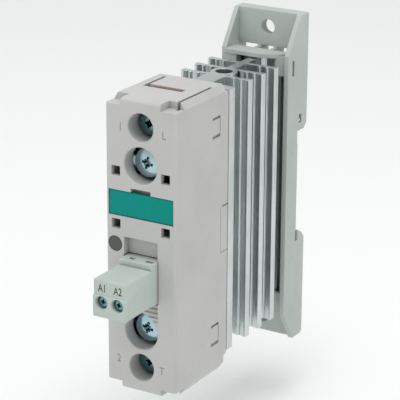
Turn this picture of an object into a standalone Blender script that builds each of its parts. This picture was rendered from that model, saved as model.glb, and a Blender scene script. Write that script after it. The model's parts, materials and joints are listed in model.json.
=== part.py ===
"""Solid state relay, 22.5 mm wide, on a DIN rail base with its own heat sink.

Frame: the origin is the centre of the face that sits on the DIN rail. +Y points at the rail,
-Y is the front with the terminal screws, +Z is up and +X is to the right seen from the front.
Units are metres.
"""

import math

import bmesh
import bpy
from mathutils import Vector

MM = 0.001

# Clearances
GAP = 0.3 * MM  # between pieces that touch or nest
SLIDE_GAP = 0.25 * MM  # round a piece that slides
THREAD_GAP = 0.1 * MM  # radial, round a shank that turns in its thread

# Whole device
WIDTH = 22.5 * MM
CASE_HEIGHT = 85.0 * MM
CASE_DEPTH = 28.2 * MM
SIDE_DROP = 2.0 * MM  # how far the side walls stay below the top strip
FRONT_TO_RAIL = 69.7 * MM
FRONT = -FRONT_TO_RAIL
CASE_BACK = FRONT + CASE_DEPTH
CASE_TOP = CASE_HEIGHT / 2
SIDE_TOP = CASE_TOP - SIDE_DROP

# Case walls
CASE_WALL = 1.2 * MM
FRONT_WALL = 1.5 * MM
TOP_WALL = 1.6 * MM
EDGE_RADIUS = 0.9 * MM
SIDE_CHAMFER = 1.3 * MM
STRIP_HALF = 6.35 * MM  # middle strip between the corner notches
NOTCH_DEPTH = 4.6 * MM

# Terminals
TERMINAL_FROM_TOP = 18.3 * MM
TERMINAL_Z = CASE_TOP - TERMINAL_FROM_TOP
TERMINAL_HOLE_R = 5.25 * MM
CHIMNEY_DEPTH = 4.0 * MM
CHIMNEY_WALL = 0.9 * MM
SCREW_HEAD_R = 4.35 * MM
SCREW_HEAD_DEPTH = 3.3 * MM
SCREW_HEAD_THICK = 2.4 * MM
SCREW_SHANK_R = 2.45 * MM
SCREW_SHANK_LENGTH = 9.6 * MM
SADDLE_SIDE_GAP = 1.0 * MM
SADDLE_HALF_WIDTH = WIDTH / 2 - CASE_WALL - SADDLE_SIDE_GAP
SADDLE_HALF_HEIGHT = 4.2 * MM
SADDLE_THICK = 1.2 * MM
CLAMP_OPEN = 2.3 * MM  # from the saddle to the terminal bar
BAR_THICK = 1.5 * MM
BAR_SIDE_GAP = 0.8 * MM
BAR_HALF_WIDTH = WIDTH / 2 - CASE_WALL - BAR_SIDE_GAP
BAR_HALF_HEIGHT = 5.4 * MM
TAB_HALF_WIDTH = 6.0 * MM
TAB_TIP_HALF_WIDTH = 4.5 * MM
NUT_HALF = 4.0 * MM
NUT_THICK = 3.0 * MM

# Case fixing screws
FIXING_FROM_TOP = 7.5 * MM
FIXING_Z = CASE_TOP - FIXING_FROM_TOP
FIXING_HOLE_R = 4.0 * MM
FIXING_HEAD_R = 3.5 * MM
FIXING_HEAD_DEPTH = 4.4 * MM
FIXING_HEAD_THICK = 2.6 * MM
FIXING_SHANK_R = 2.0 * MM
FIXING_LENGTH = 26.0 * MM
TUBE_WALL = 1.1 * MM

# Front face details
PLATE_MARGIN = 1.05 * MM
PLATE_WIDTH = WIDTH - 2 * PLATE_MARGIN
PLATE_HEIGHT = 7.0 * MM
PLATE_THICK = 1.0 * MM
PLATE_Z = 12.5 * MM
PLATE_POCKET = 1.7 * MM
PLATE_SUNK = 0.2 * MM
PRY_HALF_WIDTH = 3.2 * MM
PRY_HEIGHT = 1.2 * MM
LATCH_HOLE = 2.8 * MM
LATCH_HOLE_MARGIN = 3.3 * MM
LATCH_HOLE_X = WIDTH / 2 - LATCH_HOLE_MARGIN
LATCH_HOLE_Z = (21.7 * MM, 6.4 * MM)
LED_Z = 0.5 * MM
LED_R = 2.1 * MM
LED_STEM_R = 1.4 * MM

# Label bay and plug pocket
BAY_TOP = 3.0 * MM
BAY_DEPTH = 2.3 * MM
RAMP_RUN = 5.6 * MM
RAMP_STEPS = 4
PLUG_HALF_WIDTH = 5.4 * MM
PLUG_TOP = -4.0 * MM
PLUG_FLANGE_TOP = -2.45 * MM
PLUG_BOTTOM = -14.8 * MM
PLUG_FRONT = 15.6 * MM  # how far the plug stands out of the case
PLUG_FLANGE_FRONT = 3.0 * MM
PLUG_INSERT = 8.0 * MM
PLUG_BROW = 0.4 * MM  # the lower half of the plug's face stands this far proud
PLUG_POLES = (-2.54 * MM, 2.54 * MM)
PLUG_SCREW_Z = -10.5 * MM
PLUG_SCREW_R = 1.65 * MM
PLUG_BORE_R = 1.85 * MM
POCKET_DEPTH = 12.3 * MM
PIN_HALF = 0.5 * MM

# Inside
BOARD_SIDE_GAP = 0.45 * MM
BOARD_HALF_WIDTH = WIDTH / 2 - CASE_WALL - BOARD_SIDE_GAP
BOARD_END_GAP = 0.6 * MM
BOARD_HALF_HEIGHT = TERMINAL_Z - BAR_HALF_HEIGHT - BOARD_END_GAP
BOARD_DEPTH = 17.0 * MM
BOARD_THICK = 1.2 * MM
MODULE_PLATE_THICK = 2.0 * MM
FOIL_THICK = 0.4 * MM
CERAMIC_THICK = 0.7 * MM
CHIP_THICK = 0.5 * MM

# Slots in the top and bottom faces
TOP_SLOT_DEPTH = 13.4 * MM
TOP_SLOT_WIDTH = 2.4 * MM
SIDE_GROOVE_WIDTH = 0.9 * MM
LEFT_GROOVE_X = 3.55 * MM - WIDTH / 2
LEFT_GROOVE_END = 24.5 * MM
RIGHT_GROOVE_X = WIDTH / 2 - 2.35 * MM
RIGHT_GROOVE_END = 21.5 * MM

# Heat sink
SINK_TOP = CASE_TOP - 2.15 * MM
SINK_BOTTOM = 4.8 * MM - CASE_TOP
FLANGE_THICK = 3.5 * MM
FIN_FIRST = 12.0 * MM  # from the flange's front to the first fin's middle
FIN_PITCH = 7.6 * MM
FIN_COUNT = 3
FIN_THICK = 1.2 * MM
RIB_R = 0.55 * MM
RIB_PITCH = 2.45 * MM
RIB_COUNT = 3
CORE_HALF = 3.0 * MM
BOSS_R = 3.9 * MM
CHANNEL_R = 2.55 * MM
CHANNEL_BACK = 16.25 * MM  # from the flange's front to the screw channel's axis
WEB_HALF = 1.3 * MM
FOOT_HALF = 7.0 * MM
FOOT_THICK = 2.0 * MM

# Rail base
BASE_TOP = SINK_TOP + 12.5 * MM
BASE_BOTTOM = SINK_BOTTOM - 11.2 * MM
BASE_WALL = 1.5 * MM
BASE_INNER = WIDTH / 2 - BASE_WALL
BASE_FRONT = -6.8 * MM
BASE_BACK = 5.3 * MM
WEB_THICK = 1.8 * MM
RAIL_HEIGHT = 35.0 * MM  # a standard mounting rail
RAIL_TOP = 17.7 * MM
RAIL_BOTTOM = RAIL_TOP - RAIL_HEIGHT
TAB_THICK = 4.5 * MM
TAB_FRONT_Y = BASE_BACK - TAB_THICK
TAB_EDGE_GAP = 0.35 * MM  # from the shelf up to the tab's own edge
TAB_RECESS_R = 3.3 * MM  # behind the tab, round its hole
TAB_RECESS = 1.3 * MM
TAB_HOLE_R = 2.25 * MM
TAB_HOLE_MARGIN = 5.0 * MM
SHELF_THICK = 1.2 * MM
SHELF_FRONT = -8.0 * MM
SHELF_LEFT_END = -7.7 * MM
SHELF_RIGHT_END = -3.0 * MM
SHELF_ROOT = -2.5 * MM
SHELF_SLOT_FRONT = -1.9 * MM
CORNER_STEPS = 10
STOP_HALF = 6.0 * MM  # blocks under the shelf that keep the heat sink in its channel
STOP_HEIGHT = 5.2 * MM
STOP_BACK = -4.5 * MM
STOP_FRONTS = {-1: -7.4 * MM, 1: -5.8 * MM}  # left and right block
HOOK_BAR = 3.4 * MM
TAB_WINDOWS = (  # X of the see-through slots between the shelf's posts
    (-BASE_INNER, -3.3 * MM),
    (-2.1 * MM, 2.0 * MM),
    (3.2 * MM, BASE_INNER),
)

# Case blocks and tubes
BLOCK_HALF = PLUG_HALF_WIDTH + CASE_WALL
LED_X = -(WIDTH / 2 - CASE_WALL + BLOCK_HALF) / 2
POCKET_HALF = PLUG_HALF_WIDTH + SLIDE_GAP
POCKET_TOP = PLUG_FLANGE_TOP + SLIDE_GAP
POCKET_BOTTOM = PLUG_BOTTOM - SLIDE_GAP
BAY_BLOCK_DEPTH = POCKET_DEPTH + CASE_WALL
TUBE_END = CASE_DEPTH - FOIL_THICK - MODULE_PLATE_THICK - 3 * GAP
FIXING_SEAT = FIXING_HEAD_DEPTH + FIXING_HEAD_THICK + 0.1 * MM
PLATE_GAP = 0.2 * MM
BACKING_RIM = 1.0 * MM

# Cutting tools
CUT_PAST = 1.0 * MM  # how far a tool runs past the face it opens

# Status LED
LED_HEIGHT = 1.8 * MM

# Terminal bar
BAR_FRONT = SCREW_HEAD_DEPTH + SCREW_HEAD_THICK + 0.1 * MM + SADDLE_THICK + CLAMP_OPEN
TAB_FRONT = TOP_SLOT_DEPTH + TOP_SLOT_WIDTH - GAP - 1.0 * MM
TAB_TIP = CASE_TOP - 0.4 * MM
LEG_HALF_WIDTH = 3.2 * MM
FOOT_REACH = 5.0 * MM
MODULE_FRONT = CASE_DEPTH - FOIL_THICK - MODULE_PLATE_THICK - 2 * GAP
CERAMIC_FRONT = MODULE_FRONT - CERAMIC_THICK - GAP
FOOT_BACK = CERAMIC_FRONT - GAP

# Plug poles
CAGE_HALF = 1.95 * MM
CAGE_ABOVE = 2.4 * MM  # from the plug screw's axis
CAGE_BELOW = 2.7 * MM
CAGE_TOP = PLUG_SCREW_Z + CAGE_ABOVE
CAGE_BOTTOM = PLUG_SCREW_Z - CAGE_BELOW
CAGE_TRAVEL = 2.4 * MM
CAGE_WALL = 0.6 * MM
PLUG_HEAD_FRONT = -PLUG_FRONT + 0.5 * MM  # depths before the case's face are negative
PLUG_HEAD_THICK = 1.4 * MM
PLUG_SHANK_R = 1.15 * MM
CAVITY_HALF = CAGE_HALF + SLIDE_GAP
CAVITY_FRONT = PLUG_HEAD_FRONT + PLUG_HEAD_THICK + 0.4 * MM
CAGE_FRONT = CAVITY_FRONT + CAGE_TRAVEL + GAP
CAGE_LENGTH = 5.9 * MM
CAGE_BACK = CAGE_FRONT + CAGE_LENGTH
CAVITY_BACK = CAGE_BACK + 2 * GAP
CAVITY_BOTTOM = CAGE_BOTTOM - GAP
CONTACT_HALF = 1.1 * MM
WIRE_HALF = 1.7 * MM
CONTACT_THICK = 0.6 * MM
CONTACT_TOP = CAGE_TOP + 1.4 * MM
CAVITY_TOP = CONTACT_TOP + GAP
SOCKET_HALF = 1.25 * MM
PIN_Z = CONTACT_TOP - 1.9 * MM
STRIP_FRONT = CAGE_FRONT + CAGE_WALL + 1.0 * MM

# Header
HEADER_FRONT = PLUG_INSERT + 1.5 * MM
PIN_FRONT = -1.5 * MM

# Power module
CERAMIC_HALF_WIDTH = WIDTH / 2 - CASE_WALL - 2.0 * MM
CERAMIC_HALF_HEIGHT = TERMINAL_Z - 3.7 * MM
MODULE_HALF_HEIGHT = CASE_TOP - TOP_WALL - 3.4 * MM

# Heat sink places
SINK_FRONT = CASE_BACK + GAP
SINK_FOOT_FRONT = -WEB_THICK - GAP - FOOT_THICK
FIRST_FIN_Y = SINK_FRONT + FIN_FIRST
CHANNEL_Y = SINK_FRONT + CHANNEL_BACK

# Rail hooks and seat
SLANT_HIGH_Z = SINK_TOP + 1.65 * MM
SLANT_LOW_Z = SINK_BOTTOM - 1.3 * MM
SLANT_END_HIGH = 0.5 * MM
SLANT_END_LOW = -0.6 * MM
RAIL_GROOVE = 1.2 * MM  # takes the 1 mm edge of the rail
LIP_HEIGHT = 3.3 * MM
SEAT_HALF = 13.8 * MM
SEAT_RELIEF = 0.3 * MM

# Shelves
SHELF_HIGH = SINK_TOP + GAP
SHELF_LOW = SINK_BOTTOM - GAP

# Rail spring
SPRING_Y = 1.1 * MM
SPRING_Z = RAIL_TOP + 3.2 * MM
SPRING_R = 0.5 * MM
SPRING_REACH = 4.3 * MM
SPRING_SLOT_SPARE = 1.3 * MM

# Slots in the base
WINDOW_BELOW = 1.3 * MM
TAB_SIDES = 24
SIDE_SLOT_FRONT = -4.4 * MM
SIDE_SLOT_BACK = -3.2 * MM
SIDE_SLOT_LOW = 5.25 * MM
SIDE_SLOT_HIGH = 0.65 * MM

ROUND = 32  # sides of a round piece
SMALL_ROUND = 20

COLLECTION_NAME = "solid_state_relay"
CUTTER_COLLECTION = "cutters"


def clear_scene():
    for old in list(bpy.data.objects):
        bpy.data.objects.remove(old, do_unlink=True)


def new_collection(name):
    collection = bpy.data.collections.new(name)
    bpy.context.scene.collection.children.link(collection)
    return collection


def material(name, colour, roughness, metallic=0.0):
    made = bpy.data.materials.new(name)
    made.use_nodes = True
    shader = made.node_tree.nodes["Principled BSDF"]
    shader.inputs["Base Color"].default_value = (*colour, 1.0)
    shader.inputs["Roughness"].default_value = roughness
    shader.inputs["Metallic"].default_value = metallic
    return made


def case_grey():
    return material("case_grey", (0.56, 0.56, 0.54), 0.5)


def base_grey():
    return material("base_grey", (0.48, 0.51, 0.49), 0.55)


def plug_grey():
    return material("plug_grey", (0.52, 0.56, 0.53), 0.5)


def plate_teal():
    return material("plate_teal", (0.0, 0.3, 0.26), 0.45)


def window_dark():
    return material("window_dark", (0.06, 0.065, 0.06), 0.35)


def aluminium():
    return material("aluminium", (0.72, 0.74, 0.74), 0.35, 1.0)


def zinc():
    return material("zinc", (0.55, 0.66, 0.7), 0.28, 1.0)


def copper():
    return material("copper", (0.6, 0.27, 0.17), 0.35, 1.0)


def tin():
    return material("tin", (0.7, 0.7, 0.68), 0.35, 1.0)


def board_green():
    return material("board_green", (0.03, 0.2, 0.08), 0.5)


def black_plastic():
    return material("black_plastic", (0.03, 0.03, 0.03), 0.45)


def varistor_blue():
    return material("varistor_blue", (0.05, 0.12, 0.35), 0.5)


def led_yellow():
    return material("led_yellow", (0.75, 0.6, 0.1), 0.25)


def ceramic_white():
    return material("ceramic_white", (0.8, 0.8, 0.78), 0.6)


def silicon():
    return material("silicon", (0.12, 0.13, 0.16), 0.25, 0.6)


def foil_white():
    return material("foil_white", (0.7, 0.7, 0.66), 0.8)


def add_object(name, mesh, look=None):
    made = bpy.data.objects.new(name, mesh)
    PARTS.objects.link(made)
    if look:
        mesh.materials.append(look)
    return made


def make_cutter(piece):
    """Hides a piece from the model and keeps it as a tool for a Boolean."""
    for owner in list(piece.users_collection):
        owner.objects.unlink(piece)
    CUTTERS.objects.link(piece)
    piece.hide_render = True
    piece.display_type = "WIRE"
    return piece


def box(name, low, high, look=None):
    """A block between two corners, with its origin at its middle."""
    low = Vector(low)
    high = Vector(high)
    mesh = bpy.data.meshes.new(name)
    cube = bmesh.new()
    bmesh.ops.create_cube(cube, size=1.0)
    bmesh.ops.scale(cube, vec=high - low, verts=cube.verts)
    cube.to_mesh(mesh)
    cube.free()
    made = add_object(name, mesh, look)
    made.location = (low + high) / 2
    return made


def rod(name, radius, start, end, x=0.0, z=0.0, look=None, sides=ROUND):
    """A cylinder along Y from start to end."""
    mesh = bpy.data.meshes.new(name)
    shape = bmesh.new()
    bmesh.ops.create_cone(
        shape, cap_ends=True, segments=sides, radius1=radius, radius2=radius, depth=end - start
    )
    shape.to_mesh(mesh)
    shape.free()
    made = add_object(name, mesh, look)
    made.rotation_euler = (math.pi / 2, 0, 0)
    made.location = (x, (start + end) / 2, z)
    smooth(made)
    return made


def smooth(piece):
    piece.data.shade_smooth()
    piece.data.set_sharp_from_angle(angle=math.radians(40))


def outline(name, loops, thickness, look=None):
    """A flat shape in its own XY plane, thickened both ways along its Z, as a mesh."""
    curve = bpy.data.curves.new(name, "CURVE")
    curve.dimensions = "2D"
    curve.fill_mode = "BOTH"
    curve.extrude = thickness / 2
    for points in loops:
        spline = curve.splines.new("POLY")
        spline.points.add(len(points) - 1)
        for point, place in zip(spline.points, points):
            point.co = (place[0], place[1], 0, 1)
        spline.use_cyclic_u = True
    return mesh_from_curve(name, curve, look)


def mesh_from_curve(name, curve, look=None):
    source = bpy.data.objects.new(name + "_curve", curve)
    PARTS.objects.link(source)
    bpy.context.view_layer.update()
    graph = bpy.context.evaluated_depsgraph_get()
    mesh = bpy.data.meshes.new_from_object(source.evaluated_get(graph))
    weld = bmesh.new()
    weld.from_mesh(mesh)
    bmesh.ops.remove_doubles(weld, verts=weld.verts, dist=0.005 * MM)
    flat = math.radians(0.5)
    bmesh.ops.dissolve_limit(weld, angle_limit=flat, verts=weld.verts, edges=weld.edges)
    bmesh.ops.recalc_face_normals(weld, faces=weld.faces)
    weld.to_mesh(mesh)
    weld.free()
    made = add_object(name, mesh, look)
    made.matrix_world = source.matrix_world
    bpy.data.objects.remove(source, do_unlink=True)
    return made


def stand_along_x(piece, x=0.0):
    """Turns a flat shape so that its own X, Y and Z become +Y, +Z and +X."""
    piece.rotation_euler = (math.pi / 2, 0, math.pi / 2)
    piece.location = (x, 0, 0)
    return piece


def stand_along_y(piece, y=0.0):
    """Turns a flat shape so that its own X and Y become +X and +Z."""
    piece.rotation_euler = (math.pi / 2, 0, 0)
    piece.location = (0, y, 0)
    return piece


def combine(piece, tool, operation):
    step = piece.modifiers.new(tool.name, "BOOLEAN")
    step.operation = operation
    step.object = make_cutter(tool)
    return step


def cut(piece, tool):
    combine(piece, tool, "DIFFERENCE")


def join(piece, tool):
    combine(piece, tool, "UNION")


def bevel(piece, width, segments=2, angle=40):
    step = piece.modifiers.new("rounded edges", "BEVEL")
    step.width = width
    step.segments = segments
    step.limit_method = "ANGLE"
    step.angle_limit = math.radians(angle)
    return step


def arc(centre, radius, start, end, count):
    """Points on an arc, angles in degrees."""
    points = []
    for step in range(count + 1):
        angle = math.radians(start + (end - start) * step / count)
        points.append((centre[0] + radius * math.cos(angle), centre[1] + radius * math.sin(angle)))
    return points


def depth(distance):
    """Y of a plane that lies this far behind the front face."""
    return FRONT + distance


# ---------------------------------------------------------------- case


def case_blank(height_half, width_half, chamfer, drop, name, length):
    """The case's section with its long corner chamfers, pulled along Y."""
    half = [
        (width_half, -height_half + drop),
        (width_half, height_half - drop),
        (width_half - chamfer, height_half),
    ]
    points = half + [(-x, z) for x, z in reversed(half)]
    points = points[:-1] + [(-width_half, -height_half + drop)]
    points += [(-width_half + chamfer, -height_half), (width_half - chamfer, -height_half)]
    return outline(name, [points], length)


def case_shell():
    shell = case_blank(CASE_TOP, WIDTH / 2, SIDE_CHAMFER, SIDE_DROP, "case_shell", CASE_DEPTH)
    stand_along_y(shell, (FRONT + CASE_BACK) / 2)
    shell.data.materials.append(case_grey())
    bevel(shell, EDGE_RADIUS, 2, 60)
    hollow_case(shell)
    add_case_blocks(shell)
    cut_front_holes(shell)
    cut_bay(shell)
    cut_corner_notches(shell)
    cut_end_slots(shell)
    cut_back_corners(shell)
    return shell


def hollow_case(shell):
    inside = box(
        "case_inside",
        (-WIDTH / 2 + CASE_WALL, depth(FRONT_WALL), -CASE_TOP + TOP_WALL),
        (WIDTH / 2 - CASE_WALL, CASE_BACK + 2 * MM, CASE_TOP - TOP_WALL),
    )
    bevel(inside, CASE_WALL / 2, 1, 60)
    cut(shell, inside)


def add_case_blocks(shell):
    overlap = FRONT_WALL / 2
    bay = box(
        "bay_block",
        (-BLOCK_HALF, depth(overlap), POCKET_BOTTOM - CASE_WALL),
        (BLOCK_HALF, depth(BAY_BLOCK_DEPTH), BAY_TOP + CASE_WALL),
    )
    join(shell, bay)
    ramp = box(
        "ramp_block",
        (-BLOCK_HALF, depth(overlap), POCKET_BOTTOM - RAMP_RUN),
        (BLOCK_HALF, depth(BAY_DEPTH + CASE_WALL), POCKET_BOTTOM),
    )
    join(shell, ramp)
    for side in (1, -1):
        chimney = rod(
            f"chimney_{side}",
            TERMINAL_HOLE_R + CHIMNEY_WALL,
            depth(overlap),
            depth(CHIMNEY_DEPTH),
            z=side * TERMINAL_Z,
        )
        join(shell, chimney)
        cup = rod(
            f"screw_cup_{side}",
            FIXING_HOLE_R + TUBE_WALL,
            depth(overlap),
            depth(FIXING_SEAT + FRONT_WALL),
            z=side * FIXING_Z,
        )
        join(shell, cup)
        tube = rod(
            f"screw_tube_{side}",
            FIXING_SHANK_R + GAP + TUBE_WALL,
            depth(FIXING_SEAT),
            depth(TUBE_END),
            z=side * FIXING_Z,
            sides=SMALL_ROUND,
        )
        join(shell, tube)


def cut_front_holes(shell):
    outside = depth(-CUT_PAST)
    for side in (1, -1):
        access = rod(
            f"terminal_access_{side}",
            TERMINAL_HOLE_R,
            outside,
            depth(CHIMNEY_DEPTH + CUT_PAST),
            z=side * TERMINAL_Z,
        )
        cut(shell, access)
        head = rod(
            f"fixing_access_{side}", FIXING_HOLE_R, outside, depth(FIXING_SEAT), z=side * FIXING_Z
        )
        cut(shell, head)
        shank = rod(
            f"fixing_shank_hole_{side}",
            FIXING_SHANK_R + GAP,
            depth(FIXING_SEAT / 2),
            depth(TUBE_END + CUT_PAST),
            z=side * FIXING_Z,
            sides=SMALL_ROUND,
        )
        cut(shell, shank)
    for number, z in enumerate(LATCH_HOLE_Z):
        for side in (1, -1):
            window = box(
                f"latch_hole_{number}_{side}",
                (side * LATCH_HOLE_X - LATCH_HOLE / 2, outside, z - LATCH_HOLE / 2),
                (side * LATCH_HOLE_X + LATCH_HOLE / 2, depth(FRONT_WALL + CUT_PAST), z + LATCH_HOLE / 2),
            )
            cut(shell, window)
    plate_pocket = box(
        "plate_pocket",
        (-PLATE_WIDTH / 2 - PLATE_GAP, outside, PLATE_Z - PLATE_HEIGHT / 2 - PLATE_GAP),
        (PLATE_WIDTH / 2 + PLATE_GAP, depth(PLATE_POCKET), PLATE_Z + PLATE_HEIGHT / 2 + PLATE_GAP),
    )
    backing = box(
        "plate_backing",
        (-WIDTH / 2 + CASE_WALL / 2, depth(FRONT_WALL / 2), PLATE_Z - PLATE_HEIGHT / 2 - BACKING_RIM),
        (
            WIDTH / 2 - CASE_WALL / 2,
            depth(PLATE_POCKET + CASE_WALL),
            PLATE_Z + PLATE_HEIGHT / 2 + BACKING_RIM,
        ),
    )
    join(shell, backing)
    cut(shell, plate_pocket)
    pry = box(
        "pry_notch",
        (-PRY_HALF_WIDTH, outside, PLATE_Z),
        (PRY_HALF_WIDTH, depth(PLATE_POCKET), PLATE_Z + PLATE_HEIGHT / 2 + PLATE_GAP + PRY_HEIGHT),
    )
    cut(shell, pry)
    light = rod("light_hole", LED_R + GAP / 2, outside, depth(FRONT_WALL + CUT_PAST), x=LED_X, z=LED_Z)
    cut(shell, light)


def cut_bay(shell):
    """The label recess, the plug pocket behind it and the stepped ramp under it."""
    outside = depth(-CUT_PAST)
    label = box(
        "label_recess",
        (-PLUG_HALF_WIDTH, outside, POCKET_BOTTOM),
        (PLUG_HALF_WIDTH, depth(BAY_DEPTH), BAY_TOP),
    )
    cut(shell, label)
    pocket = box(
        "plug_pocket",
        (-POCKET_HALF, outside, POCKET_BOTTOM),
        (POCKET_HALF, depth(BAY_BLOCK_DEPTH + CUT_PAST), POCKET_TOP),
    )
    cut(shell, pocket)
    for step in range(RAMP_STEPS):
        share = 1 - step / RAMP_STEPS
        stair = box(
            f"ramp_step_{step}",
            (-PLUG_HALF_WIDTH, outside, POCKET_BOTTOM - RAMP_RUN * (step + 1) / (RAMP_STEPS + 0.5)),
            (PLUG_HALF_WIDTH, depth(BAY_DEPTH * share), POCKET_BOTTOM + CUT_PAST),
        )
        cut(shell, stair)


def cut_corner_notches(shell):
    """The four corners where the load wires go in, past the thin front wall."""
    for side in (1, -1):
        for end in (1, -1):
            xs = sorted((side * STRIP_HALF, side * WIDTH))
            zs = sorted((end * SIDE_TOP, end * (CASE_TOP + CUT_PAST)))
            notch = box(
                f"corner_notch_{side}_{end}",
                (xs[0], depth(-CUT_PAST), zs[0]),
                (xs[1], depth(NOTCH_DEPTH), zs[1]),
            )
            cut(shell, notch)


def cut_end_slots(shell):
    """Slot over the copper tab and the grooves beside it, on the top and the bottom."""
    for end in (1, -1):
        zs = sorted((end * (CASE_TOP - TOP_WALL - CUT_PAST), end * (CASE_TOP + CUT_PAST)))
        slot = box(
            f"tab_slot_{end}",
            (LEFT_GROOVE_X, depth(TOP_SLOT_DEPTH), zs[0]),
            (TAB_TIP_HALF_WIDTH + GAP, depth(TOP_SLOT_DEPTH + TOP_SLOT_WIDTH), zs[1]),
        )
        cut(shell, slot)
        left = box(
            f"left_groove_{end}",
            (LEFT_GROOVE_X, depth(TOP_SLOT_DEPTH + 0.5 * MM), zs[0]),
            (LEFT_GROOVE_X + SIDE_GROOVE_WIDTH, depth(LEFT_GROOVE_END), zs[1]),
        )
        cut(shell, left)
        right = box(
            f"right_groove_{end}",
            (RIGHT_GROOVE_X, depth(NOTCH_DEPTH - CUT_PAST), zs[0]),
            (RIGHT_GROOVE_X + SIDE_GROOVE_WIDTH, depth(RIGHT_GROOVE_END), zs[1]),
        )
        cut(shell, right)


def cut_back_corners(shell):
    """The case's top and bottom edges drop towards the heat sink's flange."""
    for end, low in ((1, SINK_TOP - 0.45 * MM), (-1, -SINK_BOTTOM + 0.1 * MM)):
        points = [
            (depth(CASE_DEPTH + CUT_PAST), end * low),
            (depth(CASE_DEPTH + CUT_PAST), end * (CASE_TOP + CUT_PAST)),
            (depth(CASE_DEPTH - 1.8 * MM), end * (CASE_TOP + CUT_PAST)),
            (depth(CASE_DEPTH - 1.8 * MM), end * (low + 0.9 * MM)),
        ]
        if end < 0:
            points.reverse()
        wedge = stand_along_x(outline(f"back_drop_{end}", [points], WIDTH + 2 * MM))
        cut(shell, wedge)


def marking_plate():
    front = depth(PLATE_SUNK)
    plate = box(
        "marking_plate",
        (-PLATE_WIDTH / 2, front, PLATE_Z - PLATE_HEIGHT / 2),
        (PLATE_WIDTH / 2, front + PLATE_THICK, PLATE_Z + PLATE_HEIGHT / 2),
        plate_teal(),
    )
    bevel(plate, 0.15 * MM, 1)
    return plate


def status_window():
    """A light guide: a wide face in the front wall and a stem down to the LED."""
    window = rod(
        "status_window", LED_R, depth(0.1 * MM), depth(FRONT_WALL), x=LED_X, z=LED_Z, look=window_dark()
    )
    stem_end = BOARD_DEPTH - LED_HEIGHT - GAP
    stem = rod(
        "window_stem",
        LED_STEM_R,
        depth(FRONT_WALL / 2),
        depth(stem_end),
        x=LED_X,
        z=LED_Z,
        sides=SMALL_ROUND,
    )
    join(window, stem)
    return window


# ---------------------------------------------------------------- load terminals


def terminal_screw(name, side):
    """Pan head with a cross recess and a threaded shank, on its own axis."""
    back = SCREW_HEAD_DEPTH + SCREW_HEAD_THICK
    screw = rod(name, SCREW_HEAD_R, depth(SCREW_HEAD_DEPTH), depth(back), z=side * TERMINAL_Z, look=zinc())
    bevel(screw, 0.5 * MM, 2)
    shank = rod(
        f"{name}_shank",
        SCREW_SHANK_R,
        depth(back - 1 * MM),
        depth(back + SCREW_SHANK_LENGTH),
        z=side * TERMINAL_Z,
    )
    join(screw, shank)
    cut_cross(screw, name, side * TERMINAL_Z, 0.0, SCREW_HEAD_DEPTH, 2.6 * MM, 0.95 * MM, 1.5 * MM)
    return screw


def cut_cross(screw, name, z, x, front, reach, width, sink):
    for number, turn in enumerate((0, math.pi / 2)):
        blade = box(
            f"{name}_recess_{number}",
            (-reach, -sink, -width / 2),
            (reach, sink, width / 2),
        )
        blade.location = (x, depth(front), z)
        blade.rotation_euler = (0, turn, 0)
        cut(screw, blade)


def clamp_saddle(name, side):
    front = SCREW_HEAD_DEPTH + SCREW_HEAD_THICK + 0.1 * MM
    z = side * TERMINAL_Z
    saddle = box(
        name,
        (-SADDLE_HALF_WIDTH, depth(front), z - SADDLE_HALF_HEIGHT),
        (SADDLE_HALF_WIDTH, depth(front + SADDLE_THICK), z + SADDLE_HALF_HEIGHT),
        zinc(),
    )
    hole = rod(f"{name}_hole", SCREW_SHANK_R + THREAD_GAP, depth(front - 1 * MM), depth(front + 3 * MM), z=z)
    cut(saddle, hole)
    return saddle


def terminal_bar(name, side):
    """Copper bar: clamp face, a tab that stands up under the end slot, and a leg to the module."""
    inner = TERMINAL_Z - BAR_HALF_HEIGHT
    outer = TERMINAL_Z + BAR_HALF_HEIGHT
    bar = bar_block(name, side, BAR_HALF_WIDTH, BAR_FRONT, BAR_FRONT + BAR_THICK, inner, outer)
    bar.data.materials.append(copper())
    pieces = (
        ("shoulder", TAB_HALF_WIDTH, BAR_FRONT + 0.2 * MM, TAB_FRONT + BAR_THICK, outer - BAR_THICK, outer),
        ("tab", TAB_HALF_WIDTH, TAB_FRONT, TAB_FRONT + BAR_THICK, outer - BAR_THICK, SIDE_TOP - 0.6 * MM),
        ("tip", TAB_TIP_HALF_WIDTH, TAB_FRONT, TAB_FRONT + 1.0 * MM, SIDE_TOP - 2 * MM, TAB_TIP),
        ("leg", LEG_HALF_WIDTH, BAR_FRONT + 0.2 * MM, FOOT_BACK, inner, inner + BAR_THICK),
        ("foot", LEG_HALF_WIDTH, FOOT_BACK - BAR_THICK, FOOT_BACK, inner - FOOT_REACH, inner + BAR_THICK / 2),
    )
    for label, half_width, front, back, low, high in pieces:
        join(bar, bar_block(f"{name}_{label}", side, half_width, front, back, low, high))
    z = side * TERMINAL_Z
    cut(bar, rod(f"{name}_hole", SCREW_SHANK_R + GAP, depth(BAR_FRONT - 1 * MM), depth(BAR_FRONT + 3 * MM), z=z))
    tube_hole = rod(
        f"{name}_tube_hole",
        FIXING_SHANK_R + GAP + TUBE_WALL + GAP,
        depth(TAB_FRONT - 1 * MM),
        depth(TAB_FRONT + 3 * MM),
        z=side * FIXING_Z,
    )
    cut(bar, tube_hole)
    return bar


def bar_block(name, side, half_width, front, back, low, high):
    zs = sorted((side * low, side * high))
    return box(name, (-half_width, depth(front), zs[0]), (half_width, depth(back), zs[1]))


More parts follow.
